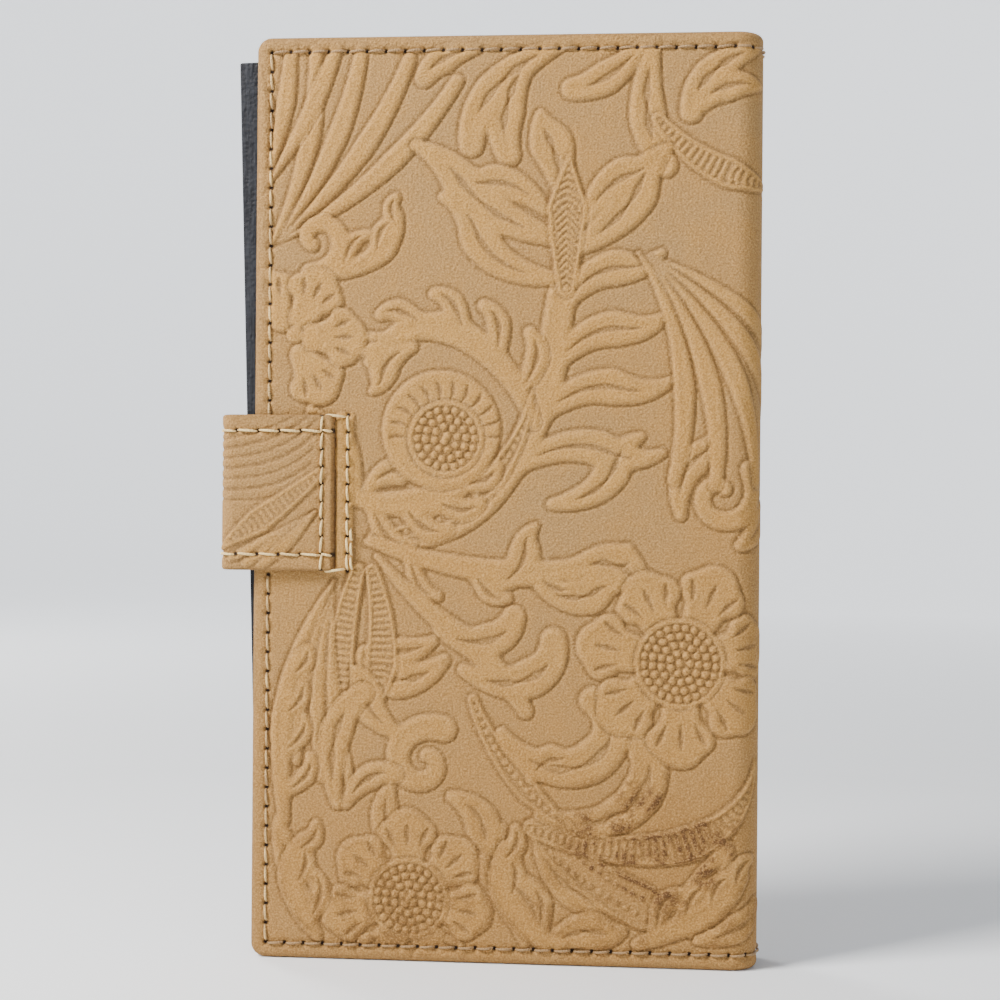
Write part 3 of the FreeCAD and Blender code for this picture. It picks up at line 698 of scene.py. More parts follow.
def tool_bottom(t):
    # Hooks, a beaded leaf and banded stems that spread from one root to the right.
    t.plant(
        t.flame((60, 24), -66, 22, 50, 3.4, 2),
        t.flame((55, 22), -100, 18, 30, 3.0, 1),
        t.flame((52, 28), -118, 16, 50, 2.8, 1),
    )
    t.band(bowed((59, 28), -46, 44, 18, 14), 4.2, "pairs", 2.0)
    t.plant(t.hook((86, 13), 20, 17, 70, 3.2, 1), t.hook((92, 6), 10, 15, 50, 2.8, 1))
    t.band(bowed((58, 28), -22, 56, 30, 74), 3.2, "rungs", 1.6)
    t.plant(t.hook((60, 31), -24, 38, 190, 4.0, 2), t.flame((72, 28), 62, 10, -60, 2.8, 1))
    t.band(bowed((46, 54), -70, 36, 40), 2.2, "beads", 1.8)
    t.plant(t.hook((52, 47), -54, 36, 210, 4.2, 2), t.flame((58, 38), 66, 10, -60, 2.6, 1))
    t.flower((88, 62), 19.0, 7, 8.2, 14)
    # A rolled leaf and its shoots over the bottom flower.
    t.grow(coiled((36, 41), 8.0, 60, 1.0), np.linspace(2.7, 1.6, 70))
    t.plant(
        t.flame((30, 47), 150, 16, -50, 3.2),
        t.flame((29, 36), -110, 14, 50, 3.0),
        t.flame((42, 34), -20, 15, -60, 3.2, 2),
    )
    # Lobed leaves along the fore-edge.
    t.plant(t.hook((18, 32), 104, 25, -70, 3.2, 2), t.hook((20, 32), 66, 13, -90, 2.6, 1))
    t.plant(t.lobed_leaf((7, 29), 96, 34, -16, 3.0, 4, -1), t.flame((6, 28), -80, 20, 30, 3.2))
    t.flower((33, 13), 16.5, 7, 7.4, 40)
    t.plant(
        t.lobed_leaf((62, 4), 146, 24, -50, 3.4, 3, -1),
        t.flame((62, 4), 40, 16, -50, 3.4, 2),
        t.flame((60, 6), 96, 15, 40, 3.2),
    )
    t.plant(t.lobed_leaf((80, 5), 20, 26, 20, 3.2, 4, 1))
    t.plant(t.lobed_leaf((14, 5), 130, 22, -50, 3.2, 3, -1))


def press_rows(sheet, rows):
    """A shallow channel along each stitch row and a needle hole at each stitch end."""
    holes = np.zeros_like(sheet.u)
    for start, end, pitch in rows:
        start, end = np.array(start, float), np.array(end, float)
        span = np.linalg.norm(end - start)
        ahead = (end - start) / span
        du, dz = sheet.u - start[0], sheet.z - start[1]
        along = du * ahead[0] + dz * ahead[1]
        across = du * ahead[1] - dz * ahead[0]
        step = span / max(1, round(span / pitch))
        on_row = smoothstep(-0.6, 0, along) * (1 - smoothstep(span, span + 0.6, along))
        sheet.relief -= CHANNEL_DEPTH * dip(across, 0.8) * on_row
        nearest = np.clip(np.round(along / step) * step, 0, span)
        holes = np.maximum(holes, dip(np.hypot(along - nearest, across), 0.6))
    sheet.relief -= HOLE_DEPTH * holes
    # The hole mask also paints shade into each needle hole.
    sheet.paint["holes"] = holes


def blurred(grid, reach):
    """The grid averaged over a square of neighbours, three times over for softness."""
    weights = np.full(2 * reach + 1, 1 / (2 * reach + 1))

    def smooth(row):
        return np.convolve(np.pad(row, reach, "edge"), weights, "valid")

    for axis in (0, 1, 0, 1, 0, 1):
        grid = np.apply_along_axis(smooth, axis, grid)
    return grid


def shade_relief(sheet):
    """Paint maps for the material: raised parts, their rims, rubbed crests, and painted shade in the hollows that
    also stands for burnished knife lines.
    """
    sheet.paint["crown"] = smoothstep(0.12, 0.42, sheet.relief)
    hollow = blurred(sheet.relief, 1) - sheet.relief
    # Painted shade in the hollows, also standing for the dark burnished knife lines.
    sheet.paint["hollow"] = smoothstep(0.02, 0.11, hollow)
    sheet.paint["rubbed"] = smoothstep(0.02, 0.12, -hollow)
    crown = sheet.paint["crown"]
    sheet.paint["rim"] = crown * smoothstep(0.08, 0.42, 1 - blurred(crown, 3))


# ---- Thread ----

def rings(centres, thick):
    """Points of the rings round a centre line, and the line's headings."""
    headings = np.gradient(centres, axis=0)
    headings /= np.linalg.norm(headings, axis=1, keepdims=True)
    first = np.cross(headings, [0.37, 0.52, 0.77])
    first /= np.linalg.norm(first, axis=1, keepdims=True)
    second = np.cross(headings, first)
    around = np.linspace(0, 2 * math.pi, TUBE_SIDES, endpoint=False)[None, :, None]
    ring = np.cos(around) * first[:, None] + np.sin(around) * second[:, None]
    return (centres[:, None] + thick[:, None, None] * ring).reshape(-1, 3), headings


def tube_faces(count, first=0):
    """Faces of a tube of count rings whose points start at number first."""
    index = first + np.arange(count * TUBE_SIDES).reshape(count, TUBE_SIDES)
    return ring_quads(index)[:, ::-1]


def thread_object(name, stitches, radius=THREAD):
    """Short lengths of thread, thinner at their ends, along rows of centre points."""
    points, quads, share, upright = [], [], [], []
    for number, centres in enumerate(stitches):
        count = len(centres)
        place = np.linspace(0, 1, count)
        fullness = np.sin(math.pi * (0.06 + 0.88 * place)) ** 0.4
        thick = radius * (0.45 + 0.55 * fullness)
        around, headings = rings(centres, thick)
        points.append(around)
        quads.append(tube_faces(count, number * count * TUBE_SIDES))
        share.append(np.repeat(place, TUBE_SIDES))
        upright.append(np.full(count * TUBE_SIDES, abs(headings[count // 2, 2])))
    obj = mesh_object(name, np.concatenate(points), np.concatenate(quads))
    float_attribute(obj, "upright", np.concatenate(upright))
    float_attribute(obj, "along", np.concatenate(share))
    return obj


def row_spans(rows, length_share=0.8):
    """(start, end) of each stitch along straight rows of (start, end, pitch)."""
    spans = []
    for first, last, pitch in rows:
        start, end = np.array(first, float), np.array(last, float)
        count = max(1, round(np.linalg.norm(end - start) / pitch))
        step = (end - start) / count
        lead = step * (1 - length_share) / 2
        spans += [(start + step * i + lead, start + step * (i + 1) - lead) for i in range(count)]
    return spans


def sheet_stitches(path, spans, slant=0.12, lift=0.26, sink=0.55):
    """Centre lines of stitches on a bent sheet, each from needle hole to needle hole."""
    share = np.linspace(0, 1, 9)
    arch = np.sin(math.pi * share) ** 0.35
    stitches = []
    for start, end in spans:
        ahead = (end - start) / np.linalg.norm(end - start)
        across = np.array([-ahead[1], ahead[0]]) * (slant + RNG.uniform(-HAND_WOBBLE, HAND_WOBBLE))
        spot = start + (end - start) * share[:, None] + across * (share - 0.5)[:, None] * 2
        depth = sink - (sink + lift) * arch + RNG.uniform(-HAND_WOBBLE, HAND_WOBBLE)
        stitches.append(np.column_stack([path.place(spot[:, 0], depth), spot[:, 1]]))
    return stitches


# ---- Materials ----

class Nodes:
    """Short calls for building a node tree."""

    def __init__(self, name):
        self.material = bpy.data.materials.new(name)
        self.material.use_nodes = True
        self.tree = self.material.node_tree
        self.shader = self.tree.nodes["Principled BSDF"]
        self.where = self.add("ShaderNodeTexCoord").outputs["Object"]

    def add(self, kind, inputs=None, **settings):
        node = self.tree.nodes.new(kind)
        for key, value in settings.items():
            setattr(node, key, value)
        for key, value in (inputs or {}).items():
            self.put(node.inputs[key], value)
        return node

    def put(self, socket, value):
        if isinstance(value, bpy.types.NodeSocket):
            self.tree.links.new(value, socket)
        elif isinstance(value, tuple) and len(value) == 3 and socket.type == "RGBA":
            socket.default_value = (*value, 1.0)
        else:
            socket.default_value = value

    def attribute(self, name, output="Fac"):
        return self.add("ShaderNodeAttribute", attribute_name=name).outputs[output]

    def stretched(self, *scale):
        inputs = {"Vector": self.where, "Scale": scale}
        return self.add("ShaderNodeMapping", inputs).outputs["Vector"]

    def noise(self, scale, detail=4.0, roughness=0.6, where=None):
        inputs = {"Scale": scale, "Detail": detail, "Roughness": roughness}
        inputs["Vector"] = where or self.where
        return self.add("ShaderNodeTexNoise", inputs).outputs["Fac"]

    def cells(self, scale, where=None):
        inputs = {"Vector": where or self.where, "Scale": scale}
        return self.add("ShaderNodeTexVoronoi", inputs, feature="SMOOTH_F1").outputs["Distance"]

    def math(self, operation, a, b=0.0, clamp=False):
        node = self.add("ShaderNodeMath", operation=operation, use_clamp=clamp)
        self.put(node.inputs[0], a)
        self.put(node.inputs[1], b)
        return node.outputs[0]

    def plus(self, a, b, clamp=False):
        return self.math("ADD", a, b, clamp)

    def times(self, a, b):
        return self.math("MULTIPLY", a, b)

    def span(self, value, low, high, to_low=0.0, to_high=1.0):
        """Map low..high to to_low..to_high, held at the ends."""
        ends = {"From Min": low, "From Max": high, "To Min": to_low, "To Max": to_high}
        return self.add("ShaderNodeMapRange", {"Value": value, **ends}).outputs["Result"]

    def mix(self, share, a, b, blend="MIX"):
        node = self.add("ShaderNodeMix", data_type="RGBA", blend_type=blend)
        for socket, value in (("Factor_Float", share), ("A_Color", a), ("B_Color", b)):
            self.put(next(s for s in node.inputs if s.identifier == socket), value)
        return next(s for s in node.outputs if s.identifier == "Result_Color")

    def bump(self, height, distance, strength=1.0, under=None):
        inputs = {"Height": height, "Distance": distance, "Strength": strength}
        if under is not None:
            inputs["Normal"] = under
        return self.add("ShaderNodeBump", inputs).outputs["Normal"]

    def finish(self, **inputs):
        for key, value in inputs.items():
            self.put(self.shader.inputs[key.replace("_", " ")], value)
        return self.material


def scuffs(nodes, handled_and_shaded, blotch):
    """Where the rims of much handled tooling are rubbed dark, broken up by a speckle."""
    speckle = nodes.noise(900.0, 4.0, 0.7)
    worn = nodes.times(nodes.span(handled_and_shaded, 0.5, 0.8), nodes.span(blotch, 0.41, 0.52))
    worn = nodes.times(worn, nodes.span(nodes.attribute("rim"), 0.05, 0.5, 0.08, 1.0))
    return nodes.times(worn, nodes.span(speckle, 0.42, 0.54, 0.4, 1.0))


def nubuck(name):
    """Brushed leather: mottled nap, painted shade in the hollows, the needle holes and towards the bottom, patina
    spots, rubbed crowns and worn edges.
    """
    nodes = Nodes(name)
    nodes.where = nodes.attribute("sheet", "Vector")
    cloudy = nodes.noise(38.0, 5.0)
    blotch = nodes.noise(170.0, 6.0, 0.65)
    nap = nodes.noise(2600.0, 3.0, 0.7)
    streak = nodes.noise(420.0, 4.0, 0.6, nodes.stretched(1.0, 0.25, 1.0))
    crown = nodes.plus(nodes.attribute("crown"), nodes.span(blotch, 0.3, 0.7, -0.3, 0.3), True)
    colour = nodes.mix(crown, GREYED_TAN, TAN)
    colour = nodes.mix(nodes.span(cloudy, 0.3, 0.7, 0.0, 0.5), colour, GOLDEN)
    colour = nodes.mix(nodes.span(streak, 0.35, 0.75, 0.0, 0.3), colour, GREYED_TAN)
    # Patina spots, and painted shade towards the bottom, mixed in warm and dark.
    handled_and_shaded = nodes.attribute("patina_and_shade")
    warmed_and_shaded = nodes.span(nodes.plus(handled_and_shaded, nodes.span(blotch, 0.3, 0.7, -0.2, 0.2)), 0.0, 1.2)
    colour = nodes.mix(warmed_and_shaded, colour, WARM_PATINA_AND_SHADE)
    # Painted shade in the hollows, which also stands for burnished knife lines.
    colour = nodes.mix(nodes.times(nodes.attribute("hollow"), 0.62), colour, HOLLOW_SHADE_AND_WEAR)
    colour = nodes.mix(nodes.times(nodes.attribute("rubbed"), 0.25), colour, RUBBED)
    colour = nodes.mix(scuffs(nodes, handled_and_shaded, blotch), colour, BROWN)
    colour = nodes.mix(nodes.span(nap, 0.46, 0.66, 0.0, 0.5), colour, HOLLOW_SHADE_AND_WEAR)
    colour = nodes.mix(nodes.span(nap, 0.5, 0.36, 0.0, 0.4), colour, RUBBED)
    colour = nodes.mix(nodes.times(nodes.attribute("edge_wear"), 0.4), colour, HOLLOW_SHADE_AND_WEAR)
    # Painted shade inside the needle holes.
    colour = nodes.mix(nodes.span(nodes.attribute("holes"), 0.3, 0.75), colour, NEEDLE_HOLE_SHADE)
    fine = nodes.plus(nodes.times(nap, 0.8), nodes.cells(2100.0))
    normal = nodes.bump(blotch, 0.0006, 0.3, nodes.bump(fine, 0.00024, 0.8))
    return nodes.finish(
        Base_Color=colour,
        Roughness=nodes.span(nap, 0.3, 0.7, 0.72, 0.95),
        Normal=normal,
        Sheen_Weight=0.12,
        Sheen_Roughness=0.5,
        Sheen_Tint=(0.9, 0.6, 0.35),
        Specular_IOR_Level=0.2,
    )


def suede(name, colour, darker):
    """Plain napped lining leather."""
    nodes = Nodes(name)
    nodes.where = nodes.attribute("sheet", "Vector")
    nap = nodes.noise(1400.0, 5.0, 0.7)
    base = nodes.mix(nodes.span(nodes.noise(60.0, 5.0), 0.35, 0.65), darker, colour)
    base = nodes.mix(nodes.span(nap, 0.3, 0.7, 0.0, 0.35), base, darker)
    rough = nodes.span(nap, 0.3, 0.7, 0.78, 0.95)
    normal = nodes.bump(nap, 0.00015, 0.7)
    return nodes.finish(Base_Color=base, Roughness=rough, Normal=normal, Sheen_Weight=0.2)


def waxed_thread(name, colour, dark, level_row_shade):
    """Two-ply waxed thread, darker towards its ends where it goes into the needle holes, and, by the fourth
    argument, with painted shade on level rows.
    """
    nodes = Nodes(name)
    along = nodes.attribute("along")
    fibre = nodes.noise(2500.0, 3.0)
    twist = nodes.math("SINE", nodes.plus(nodes.times(along, 40.0), fibre))
    middle = nodes.math("ABSOLUTE", nodes.math("SUBTRACT", along, 0.5))
    # Darker towards both ends, where the thread goes into the needle holes.
    dark_ends_and_shade = nodes.span(middle, 0.28, 0.5, 0.0, 0.85)
    blotch = nodes.span(nodes.noise(70.0, 3.0), 0.35, 0.65, 0.0, 0.7)
    # Painted shade on level rows, which stay darker than upright rows.
    level = nodes.span(nodes.attribute("upright"), 0.3, 0.7, level_row_shade, 0.0)
    dark_ends_and_shade = nodes.math("MAXIMUM", dark_ends_and_shade, level)
    base = nodes.mix(nodes.math("MAXIMUM", dark_ends_and_shade, blotch), colour, dark)
    rough = nodes.span(fibre, 0.3, 0.7, 0.5, 0.75)
    normal = nodes.bump(twist, 0.00008, 0.5)
    return nodes.finish(Base_Color=base, Roughness=rough, Normal=normal, Sheen_Weight=0.1)


def leatherette(name):
    """Matte black coated cover stock with a faint upright fibre."""
    nodes = Nodes(name)
    fibre = nodes.noise(1700.0, 4.0, 0.65, nodes.stretched(1.0, 1.0, 0.1))
    base = nodes.mix(nodes.span(fibre, 0.38, 0.62), (0.003, 0.0034, 0.006), (0.021, 0.023, 0.029))
    normal = nodes.bump(nodes.plus(nodes.cells(1300.0), fibre), 0.0002, 0.9)
    rough = nodes.span(fibre, 0.3, 0.7, 0.5, 0.75)
    return nodes.finish(
        Base_Color=base, Roughness=rough, Normal=normal, Specular_IOR_Level=0.25
    )


def paper(name):
    """Ivory leaves; each sheet of the block is a little different."""
    nodes = Nodes(name)
    leaves = nodes.noise(9000.0, 2.0, 0.6, nodes.stretched(0.0, 1.0, 0.0))
    fibre = nodes.noise(1200.0, 4.0)
    base = nodes.mix(nodes.span(leaves, 0.35, 0.65), (0.60, 0.53, 0.38), (0.82, 0.77, 0.64))
    base = nodes.mix(nodes.span(fibre, 0.3, 0.7, 0.0, 0.12), base, (0.50, 0.42, 0.30))
    return nodes.finish(Base_Color=base, Roughness=0.85, Normal=nodes.bump(fibre, 0.00005, 0.4))


def grey_board(name):
    """Pressed grey board with short fibres."""
    nodes = Nodes(name)
    fibre = nodes.noise(800.0, 5.0, 0.7)
    base = nodes.mix(nodes.span(fibre, 0.3, 0.7), (0.25, 0.22, 0.18), (0.42, 0.38, 0.31))
    return nodes.finish(Base_Color=base, Roughness=0.9, Normal=nodes.bump(fibre, 0.0001, 0.5))


def worn_metal(name, dark, bright):
    """Metal with dull patches and fine scratches."""
    nodes = Nodes(name)
    cloudy = nodes.noise(500.0, 5.0, 0.65)
    lines = nodes.noise(2200.0, 3.0, 0.6, nodes.stretched(1.0, 1.0, 8.0))
    base = nodes.mix(nodes.span(cloudy, 0.35, 0.65), dark, bright)
    rough = nodes.span(nodes.times(cloudy, lines), 0.1, 0.4, 0.24, 0.5)
    normal = nodes.bump(lines, 0.00003, 0.5)
    return nodes.finish(Base_Color=base, Metallic=1.0, Roughness=rough, Normal=normal)


def braided_elastic(name):
    """Black elastic cord with a slanting weave."""
    nodes = Nodes(name)
    inputs = {"Vector": nodes.where, "Scale": 420.0, "Distortion": 2.0, "Detail": 2.0}
    wave = nodes.add("ShaderNodeTexWave", inputs, bands_direction="DIAGONAL").outputs["Fac"]
    base = nodes.mix(wave, (0.010, 0.009, 0.008), (0.060, 0.052, 0.045))
    return nodes.finish(Base_Color=base, Roughness=0.8, Normal=nodes.bump(wave, 0.0002, 0.8))


def backdrop_paint():
    """Matt paint; it glows away from the object, where the lamps hardly reach."""
    nodes = Nodes("backdrop_paint")
    tone = nodes.noise(3.0, 3.0)
    base = nodes.mix(nodes.span(tone, 0.3, 0.7, 0.0, 0.2), (0.90, 0.92, 0.95), (0.84, 0.87, 0.91))
    away = nodes.add("ShaderNodeVectorMath", {"Vector": nodes.where}, operation="LENGTH")
    glow = nodes.span(away.outputs["Value"], 0.3, 1.3, 0.0, 1.1)
    return nodes.finish(
        Base_Color=base, Roughness=0.9, Emission_Color=base, Emission_Strength=glow
    )


TAN = (0.49, 0.262, 0.060)
GREYED_TAN = (0.34, 0.200, 0.071)
GOLDEN = (0.42, 0.200, 0.038)
# Brown of the painted shade in the hollows; also used for dark nap specks and worn edges.
HOLLOW_SHADE_AND_WEAR = (0.15, 0.078, 0.026)
RUBBED = (0.58, 0.34, 0.12)
# Warm dark tone of the patina spots and of the painted shade towards the bottom.
WARM_PATINA_AND_SHADE = (0.33, 0.165, 0.042)
BROWN = (0.085, 0.034, 0.011)
# Painted shade inside the needle holes.
NEEDLE_HOLE_SHADE = (0.02, 0.009, 0.004)
MATERIALS = {
    "cover_leather": nubuck("tooled_nubuck"),
    "strap_leather": nubuck("strap_nubuck"),
    "lining_leather": suede("lining_suede", (0.15, 0.075, 0.034), (0.07, 0.032, 0.014)),
    "pocket_leather": suede("pocket_leather", (0.20, 0.098, 0.042), (0.10, 0.045, 0.018)),
    "thread": waxed_thread("cream_thread", (0.72, 0.48, 0.18), (0.19, 0.095, 0.033), 0.8),
    "strap_thread": waxed_thread("strap_thread", (0.88, 0.65, 0.28), (0.58, 0.36, 0.13), 0.0),
    "notebook_cover": leatherette("black_leatherette"),
    "paper": paper("ivory_paper"),
    "board": grey_board("grey_board"),
    "snap_metal": worn_metal("aged_brass", (0.30, 0.20, 0.10), (0.58, 0.44, 0.24)),
    "staple_wire": worn_metal("steel_wire", (0.45, 0.45, 0.47), (0.70, 0.70, 0.72)),
    "elastic": braided_elastic("braided_elastic"),
}


def dress(obj, slot, *replaced, material=None):
    """Give a new piece its material, found by slot unless material names another, and hide the nodes it stands
    for.
    """
    obj.data.materials.clear()
    obj.data.materials.append(MATERIALS[material or slot])
    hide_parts(*replaced)


def thicken(obj, thickness):
    """Give a one-sided sheet its thickness, inward from its outer face."""
    thick = obj.modifiers.new("thickness", "SOLIDIFY")
    thick.thickness = thickness * MM
    thick.offset = -1.0


# ---- Cover ----

def folded_path(start, flat, across, radius):
    """Along the back, round the spine and along the front; the outside is on the right."""
    turn = bend_leg(radius, 90)
    return Path(start, 0, -1, [(flat, 0), turn, (across - 2 * radius, 0), turn, (flat, 0)])


COVER = folded_path((LEFT, BACK), WIDTH - SPINE_ROUND, FRONT - BACK, SPINE_ROUND)
HALF_SHEET = COVER.length / 2
FAR_STITCH = COVER.length - STITCH_INSET


def blend_across(obj):
    """Bake a piece's placement into its mesh."""
    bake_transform(obj)


def spine_blend(obj, side):
    """Bake a cover piece's placement into its mesh, the same way on the back (-1) as on the front (1)."""
    if side < 0:
        blend_across(obj)
    else:
        blend_across(obj)


def edge_rows(first_u, last_u, fore_edge_u):
    """Stitch rows of one cover half: bottom, top and fore-edge."""
    low, high = STITCH_INSET, HEIGHT - STITCH_INSET
    rows = [((first_u, z), (last_u, z), STITCH_PITCH) for z in (low, high)]
    return rows + [((fore_edge_u, low), (fore_edge_u, high), STITCH_PITCH)]


def tooled_half(u_range, step, ends, mirror_at):
    """A cover half with its pattern, smooth where it meets the other half."""
    sheet = Sheet(COVER, u_range, (0, HEIGHT), PANEL, step, SHEET_CORNER, ends)
    tool_panel(Tooling(sheet, mirror_at))
    np.maximum(sheet.relief, DEEPEST_CUT, out=sheet.relief)
    sheet.relief *= smoothstep(0.1, 9.0, np.abs(sheet.u - HALF_SHEET))
    from_edge = np.minimum(sheet.z, HEIGHT - sheet.z)
    from_edge = np.minimum(from_edge, sheet.u if ends[0] else COVER.length - sheet.u)
    sheet.relief *= 0.3 + 0.7 * smoothstep(STITCH_INSET - 1.0, STITCH_INSET + 0.8, from_edge)
    return sheet


def soften_tongue(sheet):
    """The leather swells over the strap's tongue and lies flat under the strap."""
    slit = SLIT_X - LEFT
    in_height = smoothstep(STRAP_LOW_Z - 1.2, STRAP_LOW_Z + 0.8, sheet.z)
    in_height *= 1 - smoothstep(STRAP_HIGH_Z - 0.8, STRAP_HIGH_Z + 1.2, sheet.z)
    covered = in_height * (1 - smoothstep(slit - 0.8, slit, sheet.u))
    swollen = in_height * smoothstep(slit - 0.2, slit + 0.5, sheet.u)
    swollen *= 1 - smoothstep(slit + TONGUE_END, slit + TONGUE_END + 1.5, sheet.u)
    sheet.relief *= (1 - swollen) * (1 - covered)
    sheet.relief += TONGUE_SWELL * swollen - 0.1 * covered


def flatten_for_snap(sheet, u, clear, faded):
    """No tooling round the snap: none out to clear, all of it from faded on."""
    sheet.relief *= smoothstep(clear, faded, np.hypot(sheet.u - u, sheet.z - SNAP[2]))


def patina_and_shade_map(sheet, spots):
    """Painted shade that darkens the leather towards the bottom, and patina in soft spots."""
    # Painted shade grows towards the bottom; the spots below are patina.
    dark = 0.04 + 0.6 * smoothstep(SHADED_BELOW, 0, sheet.z)
    for spot_u, spot_z, radius_u, radius_z, strength in spots:
        reach = np.hypot((sheet.u - spot_u) / radius_u, (sheet.z - spot_z) / radius_z)
        dark = np.maximum(dark, strength * dip(reach, 1.0))
    sheet.paint["patina_and_shade"] = dark


def back_half():
    """The tooled back panel with its half of the spine."""
    sheet = tooled_half((0, HALF_SHEET), SHEET_STEP, (True, False), None)
    soften_tongue(sheet)
    shade_relief(sheet)
    right = BOX_RIGHT_X - LEFT
    box_side = ((right, STRAP_LOW_Z), (right, STRAP_HIGH_Z), BOX_PITCH)
    press_rows(sheet, edge_rows(STITCH_INSET, HALF_SHEET, STITCH_INSET) + [box_side])
    patina_and_shade_map(sheet, [(83, 25, 30, 22, 1.0), (100, 62, 16, 40, 0.55), (30, 6, 34, 12, 0.7)])
    obj = sheet.build("cover_back_sheet")
    dress(obj, "cover_leather", "back_leather", "spine_leather")
    spine_blend(obj, -1)


def front_half():
    """The front panel with the other half of the spine, its pattern mirrored."""
    whole = COVER.length
    sheet = tooled_half((HALF_SHEET, whole), FRONT_STEP, (False, True), whole)
    flatten_for_snap(sheet, whole - (SNAP[0] - LEFT), 5.2, 6.6)
    shade_relief(sheet)
    press_rows(sheet, edge_rows(HALF_SHEET, FAR_STITCH, FAR_STITCH))
    patina_and_shade_map(sheet, [(whole - 30, 60, 20, 30, 0.45), (whole - 90, 20, 16, 14, 0.7)])
    obj = sheet.build("cover_front_sheet")
    dress(obj, "cover_leather", "front_leather")
    spine_blend(obj, 1)


def under_strap(span):
    """Whether a fore-edge stitch of the back lies hidden under the strap."""
    middle = (span[0] + span[1]) / 2
    return middle[0] < STITCH_INSET + 0.1 and STRAP_LOW_Z < middle[1] < STRAP_HIGH_Z


def cover_thread():
    """Saddle stitch round three edges of each half, running off round the spine."""
    back_rows = edge_rows(STITCH_INSET, HALF_SHEET, STITCH_INSET)
    front_rows = edge_rows(HALF_SHEET, FAR_STITCH, FAR_STITCH)
    replaced = {-1: ("back_edge_stitches", "spine_stitches"), 1: ("front_edge_stitches",)}
    for name, rows, side in (("back", back_rows, -1), ("front", front_rows, 1)):
        spans = [span for span in row_spans(rows) if not under_strap(span)]
        obj = thread_object(f"{name}_edge_thread", sheet_stitches(COVER, spans))
        dress(obj, "thread", *replaced[side])
        spine_blend(obj, side)


# ---- Strap ----

def strap_path(start_x, depth):
    """From the slit round both bends of the strap, and the length to its middle."""
    radius = STRAP_ROUND - depth
    centre_x = STRAP_OUT + STRAP_ROUND
    turn = bend_leg(radius, -90)
    across = STRAP_TURN - 2 * STRAP_ROUND
    legs = [(start_x - centre_x, 0), turn, (across, 0), turn, (TAB_END - centre_x, 0)]
    path = Path((start_x, ROOT_LOW[1] + depth), 180, 1, legs)
    return path, legs[0][0] + turn[0] + across / 2


STRAP, HALF_STRAP = strap_path(SLIT_X, 0.0)
TAB_START = STRAP.length - TAB_CORNER


def strap_blend(obj, part):
    """Bake a strap piece's placement into its mesh, the same way for the root (0) as for the tab (1)."""
    if part:
        blend_across(obj)
    else:
        blend_across(obj)


def tool_strap(t):
    """Sweeping lines over the root, rungs below them, and leaves along the tab."""
    z = STRAP_LOW_Z
    for k in range(7):
        start = (3 + 0.4 * k, z + 37 - 3.0 * k)
        t.carve(bowed(start, -50 + 2 * k, 30 - k, 34, 14), 0.3 + 0.1 * (k % 2), 0.34)
    t.band(bowed((3, z + 20), -40, 27, 8), 2.4, "rungs", 1.3)
    t.fan((4, z + 12), -36, -52, 3, 20, 16, 1.2)
    t.plant(
        t.lobed_leaf((44, z + 4), 60, 30, -60, 2.6, 4, 1),
        t.flame((46, z + 4), 10, 22, 40, 2.6),
        t.flame((58, z + 26), -20, 22, -40, 2.6),
    )


def strap_rows(first_u, last_u):
    """The two rows along the strap's long edges."""
    low = STRAP_LOW_Z + STRAP_STITCH_INSET
    high = STRAP_HIGH_Z - STRAP_STITCH_INSET
    return [((first_u, z), (last_u, z), STRAP_PITCH) for z in (low, high)]


def root_rows():
    """Rows on the strap's root, with the side of the box stitch that crosses it."""
    box = SLIT_X - BOX_LEFT_X
    side = ((box, STRAP_LOW_Z), (box, STRAP_HIGH_Z), BOX_PITCH)
    return strap_rows(box, HALF_STRAP) + strap_rows(0.5, box) + [side]


def tab_rows():
    """Rows on the bridge and the tab, with the one across the tab's end."""
    u = STRAP.length - STRAP_STITCH_INSET
    low, high = STRAP_LOW_Z + TAB_CORNER, STRAP_HIGH_Z - TAB_CORNER
    return strap_rows(HALF_STRAP, TAB_START) + [((u, low), (u, high), STRAP_PITCH)]


def corner_spans():
    """Stitches round the tab's two rounded corners."""
    radius = TAB_CORNER - STRAP_STITCH_INSET
    count = round(radius * math.pi / 2 / STRAP_PITCH)
    spans = []
    for z, first in ((STRAP_LOW_Z + TAB_CORNER, -90), (STRAP_HIGH_Z - TAB_CORNER, 0)):
        for k in range(count):
            ends = [first + 90 * (k + share) / count for share in (0.08, 0.92)]
            spans.append([np.array([TAB_START, z]) + radius * direction(a) for a in ends])
    return spans


def dive(u, z, points):
    """The strap's root end sinks through the slit in the cover."""
    points[:, 1] += SLIT_DROP * (1 - smoothstep(0.0, 0.7, u))
    return points


STRAP_PARTS = (
    ("strap_root", 0, ("strap_root",)),
    ("strap_tab", 1, ("strap_bridge", "strap_tab")),
)


def strap_half(path, split, part, root_corner):
    """Range along the path, corner radius and turned ends of the root (0) or tab (1)."""
    if part:
        return (split, path.length), TAB_CORNER, (False, True)
    return (0, split), root_corner, (True, False)


